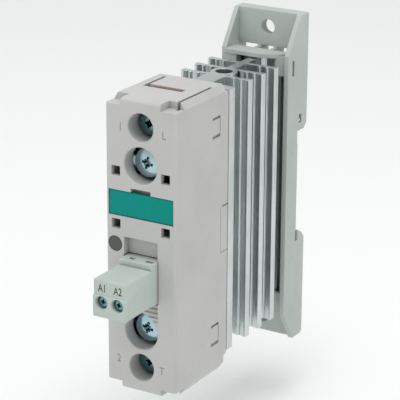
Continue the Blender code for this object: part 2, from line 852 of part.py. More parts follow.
def terminal_nut(name, side):
    front = BAR_FRONT + BAR_THICK + GAP
    z = side * TERMINAL_Z
    half_height = BAR_HALF_HEIGHT - BAR_THICK - GAP
    nut = box(
        name,
        (-NUT_HALF, depth(front), z - half_height),
        (NUT_HALF, depth(front + NUT_THICK), z + half_height),
        zinc(),
    )
    bevel(nut, 0.4 * MM, 1)
    hole = rod(f"{name}_hole", SCREW_SHANK_R + THREAD_GAP, depth(front - 1 * MM), depth(front + 5 * MM), z=z)
    cut(nut, hole)
    return nut


def case_screw(name, side):
    """Long screw that ties the case and the module to the heat sink."""
    z = side * FIXING_Z
    back = FIXING_HEAD_DEPTH + FIXING_HEAD_THICK
    screw = rod(name, FIXING_HEAD_R, depth(FIXING_HEAD_DEPTH), depth(back), z=z, look=zinc())
    bevel(screw, 0.4 * MM, 2)
    shank = rod(
        f"{name}_shank",
        FIXING_SHANK_R,
        depth(back - 1 * MM),
        depth(back + FIXING_LENGTH),
        z=z,
        sides=SMALL_ROUND,
    )
    join(screw, shank)
    cut_cross(screw, name, z, 0.0, FIXING_HEAD_DEPTH, 2.0 * MM, 0.8 * MM, 1.4 * MM)
    return screw


# ---------------------------------------------------------------- control plug


def control_plug():
    """Two-pole screw plug: a block in front, a flange, and the end that enters the case."""
    plug = box(
        "control_plug",
        (-PLUG_HALF_WIDTH, depth(-PLUG_FRONT), PLUG_BOTTOM),
        (PLUG_HALF_WIDTH, depth(-PLUG_FLANGE_FRONT / 2), PLUG_TOP),
        plug_grey(),
    )
    bevel(plug, 0.5 * MM, 2)
    brow = box(
        "plug_brow",
        (-PLUG_HALF_WIDTH, depth(-PLUG_FRONT - PLUG_BROW), PLUG_BOTTOM),
        (PLUG_HALF_WIDTH, depth(-PLUG_FRONT + 1 * MM), (PLUG_TOP + PLUG_BOTTOM) / 2 + 1 * MM),
    )
    bevel(brow, 0.35 * MM, 2)
    join(plug, brow)
    flange = box(
        "plug_flange",
        (-PLUG_HALF_WIDTH, depth(-PLUG_FLANGE_FRONT), PLUG_BOTTOM),
        (PLUG_HALF_WIDTH, depth(PLUG_INSERT), PLUG_FLANGE_TOP),
    )
    bevel(flange, 0.2 * MM, 1)
    join(plug, flange)
    for number, x in enumerate(PLUG_POLES):
        cut_pole(plug, number, x)
    return plug


def cut_pole(plug, number, x):
    bore = rod(
        f"plug_bore_{number}",
        PLUG_BORE_R,
        depth(-PLUG_FRONT - 2 * MM),
        depth(PLUG_HEAD_FRONT + PLUG_HEAD_THICK + 0.1 * MM),
        x=x,
        z=PLUG_SCREW_Z,
        sides=SMALL_ROUND,
    )
    cut(plug, bore)
    shank = rod(
        f"plug_shank_hole_{number}",
        PLUG_SHANK_R + THREAD_GAP,
        depth(PLUG_HEAD_FRONT),
        depth(CAVITY_FRONT + CUT_PAST),
        x=x,
        z=PLUG_SCREW_Z,
        sides=SMALL_ROUND,
    )
    cut(plug, shank)
    cavity = box(
        f"plug_cavity_{number}",
        (x - CAVITY_HALF, depth(CAVITY_FRONT), CAVITY_BOTTOM),
        (x + CAVITY_HALF, depth(CAVITY_BACK), CAVITY_TOP),
    )
    cut(plug, cavity)
    entry = box(
        f"plug_wire_entry_{number}",
        (x - WIRE_HALF, depth(STRIP_FRONT), PLUG_BOTTOM - CUT_PAST),
        (x + WIRE_HALF, depth(CAGE_BACK - CAGE_WALL), CAVITY_BOTTOM + CUT_PAST),
    )
    cut(plug, entry)
    socket = box(
        f"plug_socket_{number}",
        (x - SOCKET_HALF - GAP, depth(CAVITY_BACK - CUT_PAST), PIN_Z - SOCKET_HALF - GAP),
        (x + SOCKET_HALF + GAP, depth(PLUG_INSERT + CUT_PAST), CAVITY_TOP),
    )
    cut(plug, socket)


def plug_screw(name, x):
    back = PLUG_HEAD_FRONT + PLUG_HEAD_THICK
    screw = rod(
        name,
        PLUG_SCREW_R,
        depth(PLUG_HEAD_FRONT),
        depth(back),
        x=x,
        z=PLUG_SCREW_Z,
        look=zinc(),
        sides=SMALL_ROUND,
    )
    bevel(screw, 0.25 * MM, 1)
    shank = rod(
        f"{name}_shank",
        PLUG_SHANK_R,
        depth(back - 0.5 * MM),
        depth(STRIP_FRONT - 0.2 * MM),
        x=x,
        z=PLUG_SCREW_Z,
        sides=SMALL_ROUND,
    )
    join(screw, shank)
    cut_cross(screw, name, PLUG_SCREW_Z, x, PLUG_HEAD_FRONT, 1.15 * MM, 0.5 * MM, 0.8 * MM)
    return screw


def plug_clamp(name, x):
    """Lift cage: a square frame round the contact strip, threaded on the plug screw."""
    cage = box(
        name,
        (x - CAGE_HALF, depth(CAGE_FRONT), CAGE_BOTTOM),
        (x + CAGE_HALF, depth(CAGE_BACK), CAGE_TOP),
        tin(),
    )
    window = box(
        f"{name}_window",
        (x - CAGE_HALF + CAGE_WALL, depth(CAGE_FRONT + CAGE_WALL), CAGE_BOTTOM - 1 * MM),
        (x + CAGE_HALF - CAGE_WALL, depth(CAGE_BACK - CAGE_WALL), CAGE_TOP + 1 * MM),
    )
    cut(cage, window)
    thread = rod(
        f"{name}_thread",
        PLUG_SHANK_R + THREAD_GAP,
        depth(CAGE_FRONT - 1 * MM),
        depth(CAGE_FRONT + CAGE_WALL + 0.5 * MM),
        x=x,
        z=PLUG_SCREW_Z,
        sides=SMALL_ROUND,
    )
    cut(cage, thread)
    return cage


def plug_contact(name, x):
    """Strip inside the cage, bent back over it to a square socket for the header pin."""
    contact = box(
        name,
        (x - CONTACT_HALF, depth(STRIP_FRONT), CAGE_BOTTOM + 0.5 * MM),
        (x + CONTACT_HALF, depth(STRIP_FRONT + CONTACT_THICK), CONTACT_TOP),
        tin(),
    )
    bridge = box(
        f"{name}_bridge",
        (x - CONTACT_HALF, depth(STRIP_FRONT), CONTACT_TOP - CONTACT_THICK),
        (x + CONTACT_HALF, depth(CAGE_BACK + 2 * MM), CONTACT_TOP),
    )
    join(contact, bridge)
    socket = box(
        f"{name}_socket",
        (x - SOCKET_HALF, depth(CAGE_BACK + 1.2 * MM), PIN_Z - SOCKET_HALF),
        (x + SOCKET_HALF, depth(PLUG_INSERT - 0.6 * MM), CONTACT_TOP),
    )
    join(contact, socket)
    hole = box(
        f"{name}_hole",
        (x - PIN_HALF - SLIDE_GAP, depth(CAGE_BACK + 0.6 * MM), PIN_Z - PIN_HALF - SLIDE_GAP),
        (x + PIN_HALF + SLIDE_GAP, depth(PLUG_INSERT + 1 * MM), PIN_Z + PIN_HALF + SLIDE_GAP),
    )
    cut(contact, hole)
    return contact


def control_header():
    """The moulding that closes the back of the plug pocket and carries the pins."""
    header = box(
        "control_header",
        (-POCKET_HALF + GAP, depth(HEADER_FRONT), POCKET_BOTTOM + GAP),
        (POCKET_HALF - GAP, depth(BOARD_DEPTH - GAP), POCKET_TOP - GAP),
        black_plastic(),
    )
    for number, x in enumerate(PLUG_POLES):
        hole = box(
            f"header_hole_{number}",
            (x - PIN_HALF - GAP, depth(HEADER_FRONT - 1 * MM), PIN_Z - PIN_HALF - GAP),
            (x + PIN_HALF + GAP, depth(BOARD_DEPTH + 1 * MM), PIN_Z + PIN_HALF + GAP),
        )
        cut(header, hole)
    return header


def header_pin(name, x):
    pin = box(
        name,
        (x - PIN_HALF, depth(PIN_FRONT), PIN_Z - PIN_HALF),
        (x + PIN_HALF, depth(BOARD_DEPTH + BOARD_THICK + 1.2 * MM), PIN_Z + PIN_HALF),
        tin(),
    )
    bevel(pin, 0.15 * MM, 1)
    return pin


# ---------------------------------------------------------------- electronics


def circuit_board():
    board = box(
        "circuit_board",
        (-BOARD_HALF_WIDTH, depth(BOARD_DEPTH), -BOARD_HALF_HEIGHT),
        (BOARD_HALF_WIDTH, depth(BOARD_DEPTH + BOARD_THICK), BOARD_HALF_HEIGHT),
        board_green(),
    )
    for number, x in enumerate(PLUG_POLES):
        hole = box(
            f"board_hole_{number}",
            (x - PIN_HALF - GAP, depth(BOARD_DEPTH - 1 * MM), PIN_Z - PIN_HALF - GAP),
            (x + PIN_HALF + GAP, depth(BOARD_DEPTH + BOARD_THICK + 1 * MM), PIN_Z + PIN_HALF + GAP),
        )
        cut(board, hole)
    return board


def status_led():
    front = BOARD_DEPTH - LED_HEIGHT
    return rod(
        "status_led",
        1.2 * MM,
        depth(front),
        depth(BOARD_DEPTH - GAP),
        x=LED_X,
        z=LED_Z,
        look=led_yellow(),
        sides=SMALL_ROUND,
    )


def optocoupler():
    """Six-pin package on the board, with its leads as short feet."""
    body = box(
        "optocoupler",
        (-4.3 * MM, depth(BOARD_DEPTH - 4.0 * MM), 7.0 * MM),
        (4.3 * MM, depth(BOARD_DEPTH - 0.7 * MM), 13.4 * MM),
        black_plastic(),
    )
    bevel(body, 0.3 * MM, 1)
    for column in (-1, 0, 1):
        for row in (-1, 1):
            x = column * 2.54 * MM
            z = 10.2 * MM + row * 3.0 * MM
            foot = box(
                f"opto_foot_{column}_{row}",
                (x - 0.3 * MM, depth(BOARD_DEPTH - 2.5 * MM), z - 0.5 * MM),
                (x + 0.3 * MM, depth(BOARD_DEPTH - GAP), z + 0.5 * MM),
            )
            join(body, foot)
    return body


def varistor():
    disc = rod(
        "varistor", 3.4 * MM, depth(BOARD_DEPTH + BOARD_THICK + GAP), depth(BOARD_DEPTH + 4.0 * MM), x=0.0,
        z=9.0 * MM, look=varistor_blue(), sides=24,
    )
    bevel(disc, 0.6 * MM, 2)
    return disc


def resistor(name, x):
    body = box(
        name,
        (x - 0.8 * MM, depth(BOARD_DEPTH - 0.9 * MM), 14.6 * MM),
        (x + 0.8 * MM, depth(BOARD_DEPTH - GAP), 17.2 * MM),
        black_plastic(),
    )
    bevel(body, 0.1 * MM, 1)
    return body


def power_substrate():
    return box(
        "power_substrate",
        (-CERAMIC_HALF_WIDTH, depth(CERAMIC_FRONT), -CERAMIC_HALF_HEIGHT),
        (CERAMIC_HALF_WIDTH, depth(CERAMIC_FRONT + CERAMIC_THICK), CERAMIC_HALF_HEIGHT),
        ceramic_white(),
    )


def thyristor_chip(name, side):
    z = side * 6.5 * MM
    return box(
        name,
        (-3.2 * MM, depth(CERAMIC_FRONT - GAP - CHIP_THICK), z - 3.2 * MM),
        (3.2 * MM, depth(CERAMIC_FRONT - GAP), z + 3.2 * MM),
        silicon(),
    )


def drilled_plate(name, front, thick, half_height, look):
    half_width = WIDTH / 2 - CASE_WALL - GAP
    plate = box(
        name,
        (-half_width, depth(front), -half_height),
        (half_width, depth(front + thick), half_height),
        look,
    )
    for side in (1, -1):
        hole = rod(
            f"{name}_hole_{side}",
            FIXING_SHANK_R + GAP,
            depth(front - CUT_PAST),
            depth(front + thick + CUT_PAST),
            z=side * FIXING_Z,
            sides=SMALL_ROUND,
        )
        cut(plate, hole)
    return plate


def module_plate():
    return drilled_plate("module_plate", MODULE_FRONT, MODULE_PLATE_THICK, MODULE_HALF_HEIGHT, copper())


def thermal_foil():
    front = MODULE_FRONT + MODULE_PLATE_THICK + GAP
    return drilled_plate("thermal_foil", front, FOIL_THICK, MODULE_HALF_HEIGHT, foil_white())


# ---------------------------------------------------------------- heat sink


def fin_points(middle, root):
    """One fin's outline from its root out to its tip and back, with ribs on both faces."""
    half = FIN_THICK / 2
    tip_x = WIDTH / 2
    rib_places = [tip_x - RIB_R - number * RIB_PITCH for number in range(RIB_COUNT)]
    front = [(root, middle - half)]
    for place in reversed(rib_places[1:]):
        front += arc((place, middle - half), RIB_R, 180, 360, 5)
    tip = arc((rib_places[0], middle), half + RIB_R, 270 - 20, 270 + 200, 8)
    tip = [(min(x, tip_x), y) for x, y in tip]
    back = []
    for place in rib_places[1:]:
        back += arc((place, middle + half), RIB_R * 0.5, 0, 180, 3)
    back.append((root, middle + half))
    return front + tip + back


def sink_half():
    """Right half of the extrusion's section, from the front's middle round to the back's middle."""
    half = WIDTH / 2
    flange_back = SINK_FRONT + FLANGE_THICK
    corner = 0.6 * MM
    points = [(half - corner, SINK_FRONT), (half, SINK_FRONT + corner)]
    points += [(half, flange_back - corner), (half - corner, flange_back)]
    points += [(CORE_HALF + 0.9 * MM, flange_back + 0.3 * MM), (CORE_HALF, flange_back + 1.4 * MM)]
    for number in range(FIN_COUNT):
        middle = FIRST_FIN_Y + number * FIN_PITCH
        root = CORE_HALF if number == 0 else WEB_HALF
        if number == 1:
            points += boss_points(FIRST_FIN_Y + FIN_THICK, middle - FIN_THICK)
        points += fin_points(middle, root)
    points += [(WEB_HALF, SINK_FOOT_FRONT - WEB_HALF), (2 * WEB_HALF, SINK_FOOT_FRONT)]
    points += [(FOOT_HALF, SINK_FOOT_FRONT + FOOT_THICK / 4)]
    points += [(FOOT_HALF, SINK_FOOT_FRONT + FOOT_THICK)]
    return points


def boss_points(low, high):
    """The round boss about the screw channel, between the first two fins."""
    points = arc((0, CHANNEL_Y), BOSS_R, -60, 60, 8)
    return [(x, y) for x, y in points if low < y < high]


def heat_sink():
    right = sink_half()
    left = [(-x, y) for x, y in reversed(right)]
    channel = arc((0, CHANNEL_Y), CHANNEL_R, 360, 360 / SMALL_ROUND, SMALL_ROUND - 1)
    sink = outline("heat_sink", [right + left, channel], SINK_TOP - SINK_BOTTOM, aluminium())
    sink.location = (0, 0, (SINK_TOP + SINK_BOTTOM) / 2)
    smooth(sink)
    screw_end = FIXING_HEAD_DEPTH + FIXING_HEAD_THICK + FIXING_LENGTH
    for side in (1, -1):
        hole = rod(
            f"sink_thread_{side}",
            FIXING_SHANK_R + GAP,
            SINK_FRONT - 1 * MM,
            depth(screw_end + 0.5 * MM),
            z=side * FIXING_Z,
            sides=SMALL_ROUND,
        )
        cut(sink, hole)
    return sink


# ---------------------------------------------------------------- rail base


def base_side_profile():
    """Side wall seen from +X: its Y runs to the rail, its Z up. It has both rail hooks."""
    lip = 0.8 * MM
    lower_hook = [
        (BASE_BACK, RAIL_BOTTOM),
        (BASE_BACK - 1.2 * MM, RAIL_BOTTOM + LIP_HEIGHT / 2),
        (RAIL_GROOVE + 0.3 * MM, RAIL_BOTTOM + LIP_HEIGHT),
        (RAIL_GROOVE, RAIL_BOTTOM + LIP_HEIGHT - 0.3 * MM),
        (RAIL_GROOVE, RAIL_BOTTOM),
    ]
    seat = [
        (-SEAT_RELIEF, RAIL_BOTTOM),
        (-SEAT_RELIEF, -SEAT_HALF),
        (0.0, -SEAT_HALF),
        (0.0, SEAT_HALF),
        (-SEAT_RELIEF, SEAT_HALF),
        (-SEAT_RELIEF, RAIL_TOP),
    ]
    upper_hook = [
        (BASE_BACK - 2 * lip, RAIL_TOP),
        (BASE_BACK, RAIL_TOP + 2 * lip),
    ]
    low_end = [
        (BASE_FRONT, SLANT_LOW_Z),
        (SLANT_END_LOW, BASE_BOTTOM),
        (BASE_BACK - lip, BASE_BOTTOM),
        (BASE_BACK, BASE_BOTTOM + lip),
    ]
    high_end = [(BASE_BACK, BASE_TOP), (SLANT_END_HIGH, BASE_TOP), (BASE_FRONT, SLANT_HIGH_Z)]
    return low_end + lower_hook + seat + upper_hook + high_end


def mounting_base():
    """U-shaped channel: two side walls, the web behind the heat sink, shelves, hooks and tabs."""
    base = stand_along_x(outline("mounting_base", [base_side_profile()], WIDTH, base_grey()))
    # the channel that the heat sink's foot lies in, between the two shelves
    channel = box(
        "base_channel",
        (-BASE_INNER, BASE_FRONT - CUT_PAST, SHELF_LOW),
        (BASE_INNER, -WEB_THICK, SHELF_HIGH),
    )
    cut(base, channel)
    for end in (1, -1):
        shelf_face = SHELF_HIGH if end > 0 else -SHELF_LOW
        cut_tab_tray(base, end, shelf_face + SHELF_THICK)
        cut_hook_hollow(base, end, shelf_face - SHELF_THICK)
        add_shelf_front(base, end, shelf_face)
        cut_tab_windows(base, end, shelf_face)
        cut_tab_hole(base, end)
    cut_spring_way(base)
    cut_side_slot(base)
    return base


def end_limit(end):
    return BASE_TOP if end > 0 else -BASE_BOTTOM


def cut_tab_tray(base, end, shelf_outer):
    """The open space in front of a tab, between the side walls."""
    tray = z_box(
        f"tab_tray_{end}",
        end,
        (-BASE_INNER, BASE_FRONT - CUT_PAST),
        (BASE_INNER, TAB_FRONT_Y),
        shelf_outer,
        end_limit(end) + CUT_PAST,
    )
    cut(base, tray)


def cut_hook_hollow(base, end, far):
    """The hollow behind the web, between a rail hook and the shelf."""
    hook_edge = RAIL_TOP if end > 0 else -RAIL_BOTTOM
    hollow = z_box(
        f"hook_hollow_{end}",
        end,
        (-BASE_INNER, -SEAT_RELIEF),
        (BASE_INNER, BASE_BACK + CUT_PAST),
        hook_edge + HOOK_BAR,
        far,
    )
    cut(base, hollow)


def add_shelf_front(base, end, shelf_face):
    """Gives a shelf its shaped front edge and the blocks at both ends of it."""
    trim = z_box(
        f"shelf_trim_{end}",
        end,
        (-BASE_INNER, BASE_FRONT - CUT_PAST),
        (BASE_INNER, (SHELF_RIGHT_END + SHELF_ROOT) / 2),
        shelf_face - CUT_PAST,
        shelf_face + SHELF_THICK + CUT_PAST,
    )
    cut(base, trim)
    join(base, shelf_front(f"shelf_front_{end}", end, shelf_face, shelf_face + SHELF_THICK))
    for side, front in STOP_FRONTS.items():
        xs = sorted((side * STOP_HALF, side * (BASE_INNER + BASE_WALL / 2)))
        stop = z_box(
            f"stop_{end}_{side}",
            end,
            (xs[0], front),
            (xs[1], STOP_BACK),
            shelf_face - STOP_HEIGHT,
            shelf_face + SHELF_THICK / 2,
        )
        join(base, stop)


def shelf_front(name, end, near, far):
    """The shelf's front part: nearly straight on the left, a wide round corner on the right."""
    drop = SHELF_RIGHT_END - SHELF_FRONT
    radius = (BASE_INNER ** 2 + drop ** 2) / (2 * drop)
    sweep = math.degrees(math.asin(BASE_INNER / radius))
    points = [(BASE_INNER, SHELF_ROOT), (-BASE_INNER, SHELF_ROOT), (-BASE_INNER, SHELF_LEFT_END)]
    points += arc((0, SHELF_FRONT + radius), radius, -90, sweep - 90, CORNER_STEPS)
    zs = sorted((end * near, end * far))
    made = outline(name, [points], zs[1] - zs[0])
    made.location = (0, 0, (zs[0] + zs[1]) / 2)
    return made


def cut_tab_windows(base, end, shelf_face):
    """See-through slots between the shelf and the tab, with two posts between them."""
    for number, (low_x, high_x) in enumerate(TAB_WINDOWS):
        window = z_box(
            f"tab_window_{end}_{number}",
            end,
            (low_x, SHELF_SLOT_FRONT),
            (high_x, BASE_BACK + CUT_PAST),
            shelf_face - WINDOW_BELOW,
            shelf_face + SHELF_THICK + TAB_EDGE_GAP,
        )
        cut(base, window)


def cut_tab_hole(base, end):
    """The panel screw's hole, with a wider recess round it behind the tab."""
    z = end * (end_limit(end) - TAB_HOLE_MARGIN)
    spans = (
        ("hole", TAB_HOLE_R, TAB_FRONT_Y - CUT_PAST),
        ("recess", TAB_RECESS_R, BASE_BACK - TAB_RECESS),
    )
    for label, radius, front in spans:
        cut(base, rod(f"tab_{label}_{end}", radius, front, BASE_BACK + CUT_PAST, z=z, sides=TAB_SIDES))


def z_box(name, end, low_xy, high_xy, near, far):
    """A box between two distances from the middle, on the upper or the lower end."""
    zs = sorted((end * near, end * far))
    return box(name, (*low_xy, zs[0]), (*high_xy, zs[1]))


def cut_spring_way(base):
    """The slots in both side walls that the rail spring slides in, and its way between them."""
    slot = box(
        "spring_slot",
        (-WIDTH, SPRING_Y - SPRING_R - GAP, SPRING_Z - SPRING_R - GAP),
        (WIDTH, SPRING_Y + SPRING_R + GAP, SPRING_Z + SPRING_R + SPRING_SLOT_SPARE),
    )
    cut(base, slot)
    way = box(
        "spring_way",
        (-BASE_INNER, -SEAT_RELIEF, RAIL_TOP - CUT_PAST),
        (BASE_INNER, SPRING_Y + SPRING_R + GAP, RAIL_TOP + HOOK_BAR + CUT_PAST),
    )
    cut(base, way)


def cut_side_slot(base):
    """The tall slot in the right side wall, beside the upper shelf."""
    slot = box(
        "side_slot",
        (0, SIDE_SLOT_FRONT, SHELF_HIGH - SIDE_SLOT_LOW),
        (WIDTH, SIDE_SLOT_BACK, SHELF_HIGH - SIDE_SLOT_HIGH),
    )
    cut(base, slot)


def rail_spring():
    """Steel wire bow: its back lies in the slots, its two legs press on the rail's edge."""
    half = WIDTH / 2 - 0.2 * MM
    legs = 7.6 * MM
    curve = bpy.data.curves.new("rail_spring", "CURVE")
    curve.dimensions = "3D"
    curve.bevel_depth = SPRING_R
    curve.bevel_resolution = 2
    curve.use_fill_caps = True
    low = SPRING_Z - SPRING_REACH
    route = [(-half, SPRING_Z), (-legs - 1 * MM, SPRING_Z), (-legs, SPRING_Z - 1 * MM), (-legs, low + 0.8 * MM)]
    route += [(-legs + 0.8 * MM, low), (legs - 0.8 * MM, low)]
    route += [(legs, low + 0.8 * MM), (legs, SPRING_Z - 1 * MM), (legs + 1 * MM, SPRING_Z), (half, SPRING_Z)]
    spline = curve.splines.new("POLY")
    spline.points.add(len(route) - 1)
    for point, (x, z) in zip(spline.points, route):
        point.co = (x, SPRING_Y, z, 1)
    made = mesh_from_curve("rail_spring", curve, tin())
    smooth(made)
    return made


def build():
    mounting_base()
    rail_spring()
    heat_sink()
    case_shell()
    marking_plate()
    status_window()
    for place, side in (("upper", 1), ("lower", -1)):
        terminal_screw(f"{place}_terminal_screw", side)
        clamp_saddle(f"{place}_clamp_saddle", side)
        terminal_bar(f"{place}_terminal_bar", side)
        terminal_nut(f"{place}_terminal_nut", side)
        case_screw(f"{place}_case_screw", side)
    control_plug()
    control_header()
    for label, x in zip(("a1", "a2"), PLUG_POLES):
        plug_screw(f"plug_screw_{label}", x)
        plug_clamp(f"plug_clamp_{label}", x)
        plug_contact(f"plug_contact_{label}", x)
        header_pin(f"header_pin_{label}", x)
    circuit_board()
    status_led()
    optocoupler()
    varistor()
    resistor("resistor_1", -7.0 * MM)
    resistor("resistor_2", 7.0 * MM)
    power_substrate()
    thyristor_chip("thyristor_chip_1", 1)
    thyristor_chip("thyristor_chip_2", -1)
    module_plate()
    thermal_foil()


clear_scene()
PARTS = new_collection(COLLECTION_NAME)
CUTTERS = new_collection(CUTTER_COLLECTION)
build()
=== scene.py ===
import json
import math

import bmesh
import bpy
from mathutils import Matrix, Vector


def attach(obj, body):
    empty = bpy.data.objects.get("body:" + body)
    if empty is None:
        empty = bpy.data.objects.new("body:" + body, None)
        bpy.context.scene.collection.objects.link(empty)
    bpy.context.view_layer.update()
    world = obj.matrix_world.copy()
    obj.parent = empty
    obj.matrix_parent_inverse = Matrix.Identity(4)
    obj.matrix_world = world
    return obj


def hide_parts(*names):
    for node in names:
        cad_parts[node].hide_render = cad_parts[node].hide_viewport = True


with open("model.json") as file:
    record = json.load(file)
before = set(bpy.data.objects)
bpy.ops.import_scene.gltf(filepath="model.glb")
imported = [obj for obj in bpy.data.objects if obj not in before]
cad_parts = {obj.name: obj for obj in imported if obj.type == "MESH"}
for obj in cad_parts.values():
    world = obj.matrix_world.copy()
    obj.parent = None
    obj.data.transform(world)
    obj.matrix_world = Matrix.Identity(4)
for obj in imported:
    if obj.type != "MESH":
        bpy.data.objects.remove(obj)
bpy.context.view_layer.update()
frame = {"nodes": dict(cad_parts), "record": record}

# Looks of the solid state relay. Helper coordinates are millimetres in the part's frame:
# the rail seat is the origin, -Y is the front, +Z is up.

MM = 0.001
FRONT = -69.7
HALF = 11.25
CASE_BACK = FRONT + 28.2
CASE_TOP = 42.5
SIDE_TOP = 40.5
TERMINAL_Z = 24.2
FIXING_Z = 35.0
SINK_TOP = 40.35
SINK_BOTTOM = -37.7
POLES = (-2.54, 2.54)
PLUG_SCREW_Z = -10.5
RAIL_TOP = 17.7
RAIL_BOTTOM = -17.3
BASE_TOP = 52.85
BASE_BOTTOM = -48.9
BASE_FRONT = -6.8
BASE_BACK = 5.3
BASE_INNER = 9.75
TAB_FACE = 0.8
SHELF_HIGH = 40.65
SHELF_LOW = -38.0

# Cutters run this far past the part.
OUTSIDE = FRONT - 1
PAST_SIDE = 20
PAST_END = 50
PAST_ALL = 60

# Case shell: FUSE is half way through the front wall, where the inner blocks start.
CHAMFER = 1.3
FRONT_WALL = 1.5
FUSE = FRONT + 0.75
CASE_INNER = 10.05
CASE_INNER_TOP = 40.9
BLOCK_HALF = 6.6
BACKING_HALF = 10.6
CORNER_X = (5.23, 10.47)
CORNER_Z = (38.83, 41.63)
CHIMNEY_R = 6.15
CUP_R = 5.1
SADDLE_WAY_X = 9.93
SADDLE_WAY_Z = 4.45
WELL_SIDES = 96
ACCESS_R = 5.25
ACCESS_RIM_R = 5.75
ACCESS_DEPTH = 9
FIXING_R = 4.0
FIXING_RIM_R = 4.45
FIXING_DEPTH = 7.1
RIM_DEPTH = 0.25
LATCH_HOLE_X = 7.95
LATCH_HOLE_HALF = 1.4
LATCH_HOLE_Z = (21.7, 6.4)
NOTCH_X = 6.35
NOTCH_DEPTH = 4.6
LABEL_HALF = 5.4
LABEL_SINK = 2.3
POCKET_HALF = 5.65
POCKET_LOW = -15.05
STAIRS = 5
STAIR_RUN = 5.4
SLOT_LOW = 39.9
CARVE_BATCH = 5

# Screws: each recess is the reach, width and sink of its cross.
TERMINAL_SCREW = {
    "radius": 4.3, "front": 3.32, "thick": 2.36, "rise": 0.5,
    "shank": 2.4, "length": 9.5, "recess": (2.75, 1.05, 1.5),
}
FIXING_SCREW = {
    "radius": 3.45, "front": 4.42, "thick": 2.56, "rise": 0.35,
    "shank": 1.95, "length": 25.9, "recess": (2.0, 0.8, 1.4),
}
POLE_SCREW = {
    "radius": 1.63, "front": -15.08, "thick": 1.37, "rise": 0.15,
    "shank": 1.13, "length": 4.6, "recess": (1.15, 0.45, 0.8),
}
DOME_STEPS = 8
DOME_SHARE = 0.93
RIM_DROP = 0.35
CROSS_TURN = 12
CROSS_ARMS = ((0, 1, 1), (90, 1, 1), (45, 0.74, 0.7), (135, 0.74, 0.7))

# Heat sink: distances along Y are from the face of its front flange.
SINK_FRONT = CASE_BACK + 0.3
FLANGE_THICK = 3.5
CHANNEL_MIDDLE = 16.25
CHANNEL_R = 2.55
BOSS_R = 3.9
FIN_FIRST = 12.0
FIN_PITCH = 7.6
FIN_HALF = 0.6
RIB_R = 0.55
RIB_PITCH = 2.45

# Rail base.
SHELF_THICK = 1.2
SHELF_FRONT = -8.0
SHELF_CURVE_R = 12.0
SHELF_ROOT = -2.5
TRAY_FRONT = -12
STOP_X = (6.0, 10.5)
STOP_FRONTS = ((-1, -7.4), (1, -5.8))
WINDOWS = ((-BASE_INNER, -3.3), (-2.1, 2.0), (3.2, BASE_INNER))
TAB_HOLE_R = 2.25
TAB_RECESS_R = 3.3
TAB_HOLE_MARGIN = 5.0


def depth(distance):
    return FRONT + distance


# ------------------------------------------------------------ shapes


def piece_from(name, shape):
    mesh = bpy.data.meshes.new(name)
    bmesh.ops.scale(shape, vec=(MM, MM, MM), verts=shape.verts)
    bmesh.ops.recalc_face_normals(shape, faces=shape.faces)
    shape.to_mesh(mesh)
    shape.free()
    made = bpy.data.objects.new(name, mesh)
    bpy.context.scene.collection.objects.link(made)
    return made


def block(name, low, high):
    shape = bmesh.new()
    bmesh.ops.create_cube(shape, size=1.0)
    low = Vector(low)
    high = Vector(high)
    bmesh.ops.scale(shape, vec=high - low, verts=shape.verts)
    bmesh.ops.translate(shape, vec=(low + high) / 2, verts=shape.verts)
    return piece_from(name, shape)


def rod(name, radius, start, end, x=0.0, z=0.0, sides=72, back_radius=None):
    shape = bmesh.new()
    far = radius if back_radius is None else back_radius
    bmesh.ops.create_cone(
        shape, cap_ends=True, segments=sides, radius1=radius, radius2=far, depth=end - start
    )
    bmesh.ops.rotate(shape, matrix=Matrix.Rotation(-math.pi / 2, 3, "X"), verts=shape.verts)
    bmesh.ops.translate(shape, vec=(x, (start + end) / 2, z), verts=shape.verts)
    return piece_from(name, shape)


def prism(name, points, low, high, along):
    """A flat outline pulled along an axis: points are (y, z), (x, z) or (x, y)."""
    place = {
        "x": lambda a, b: (low, a, b),
        "y": lambda a, b: (a, low, b),
        "z": lambda a, b: (a, b, low),
    }[along]
    way = {"x": (1, 0, 0), "y": (0, 1, 0), "z": (0, 0, 1)}[along]
    shape = bmesh.new()
    face = shape.faces.new([shape.verts.new(place(a, b)) for a, b in points])
    pulled = bmesh.ops.extrude_face_region(shape, geom=[face])
    moved = [item for item in pulled["geom"] if isinstance(item, bmesh.types.BMVert)]
    bmesh.ops.translate(shape, vec=Vector(way) * (high - low), verts=moved)
    return piece_from(name, shape)


def lathe(name, profile, x, z, sides=72):
    """Turns (radius, y) points about a line along Y; the first and last lie on the line."""
    shape = bmesh.new()
    rings = []
    for radius, y in profile:
        if radius == 0:
            rings.append([shape.verts.new((x, y, z))])
            continue
        ring = []
        for step in range(sides):
            angle = 2 * math.pi * step / sides
            ring.append(shape.verts.new((x + radius * math.cos(angle), y, z + radius * math.sin(angle))))
        rings.append(ring)
    for near, far in zip(rings, rings[1:]):
        for step in range(sides):
            after = (step + 1) % sides
            corners = [near[step % len(near)], near[after % len(near)]]
            corners += [far[after % len(far)], far[step % len(far)]]
            shape.faces.new(list(dict.fromkeys(corners)))
    return piece_from(name, shape)


def arc(centre, radius, start, end, count):
    points = []
    for step in range(count + 1):
        angle = math.radians(start + (end - start) * step / count)
        points.append((centre[0] + radius * math.cos(angle), centre[1] + radius * math.sin(angle)))
    return points


def soften(piece, width, segments=3, angle=35):
    step = piece.modifiers.new("rounded edges", "BEVEL")
    step.width = width * MM
    step.segments = segments
    step.limit_method = "ANGLE"
    step.angle_limit = math.radians(angle)
    return piece


def bake(piece):
    """Turns the modifiers into plain mesh."""
    bpy.context.view_layer.update()
    graph = bpy.context.evaluated_depsgraph_get()
    mesh = bpy.data.meshes.new_from_object(piece.evaluated_get(graph))
    piece.modifiers.clear()
    piece.data = mesh
    return piece


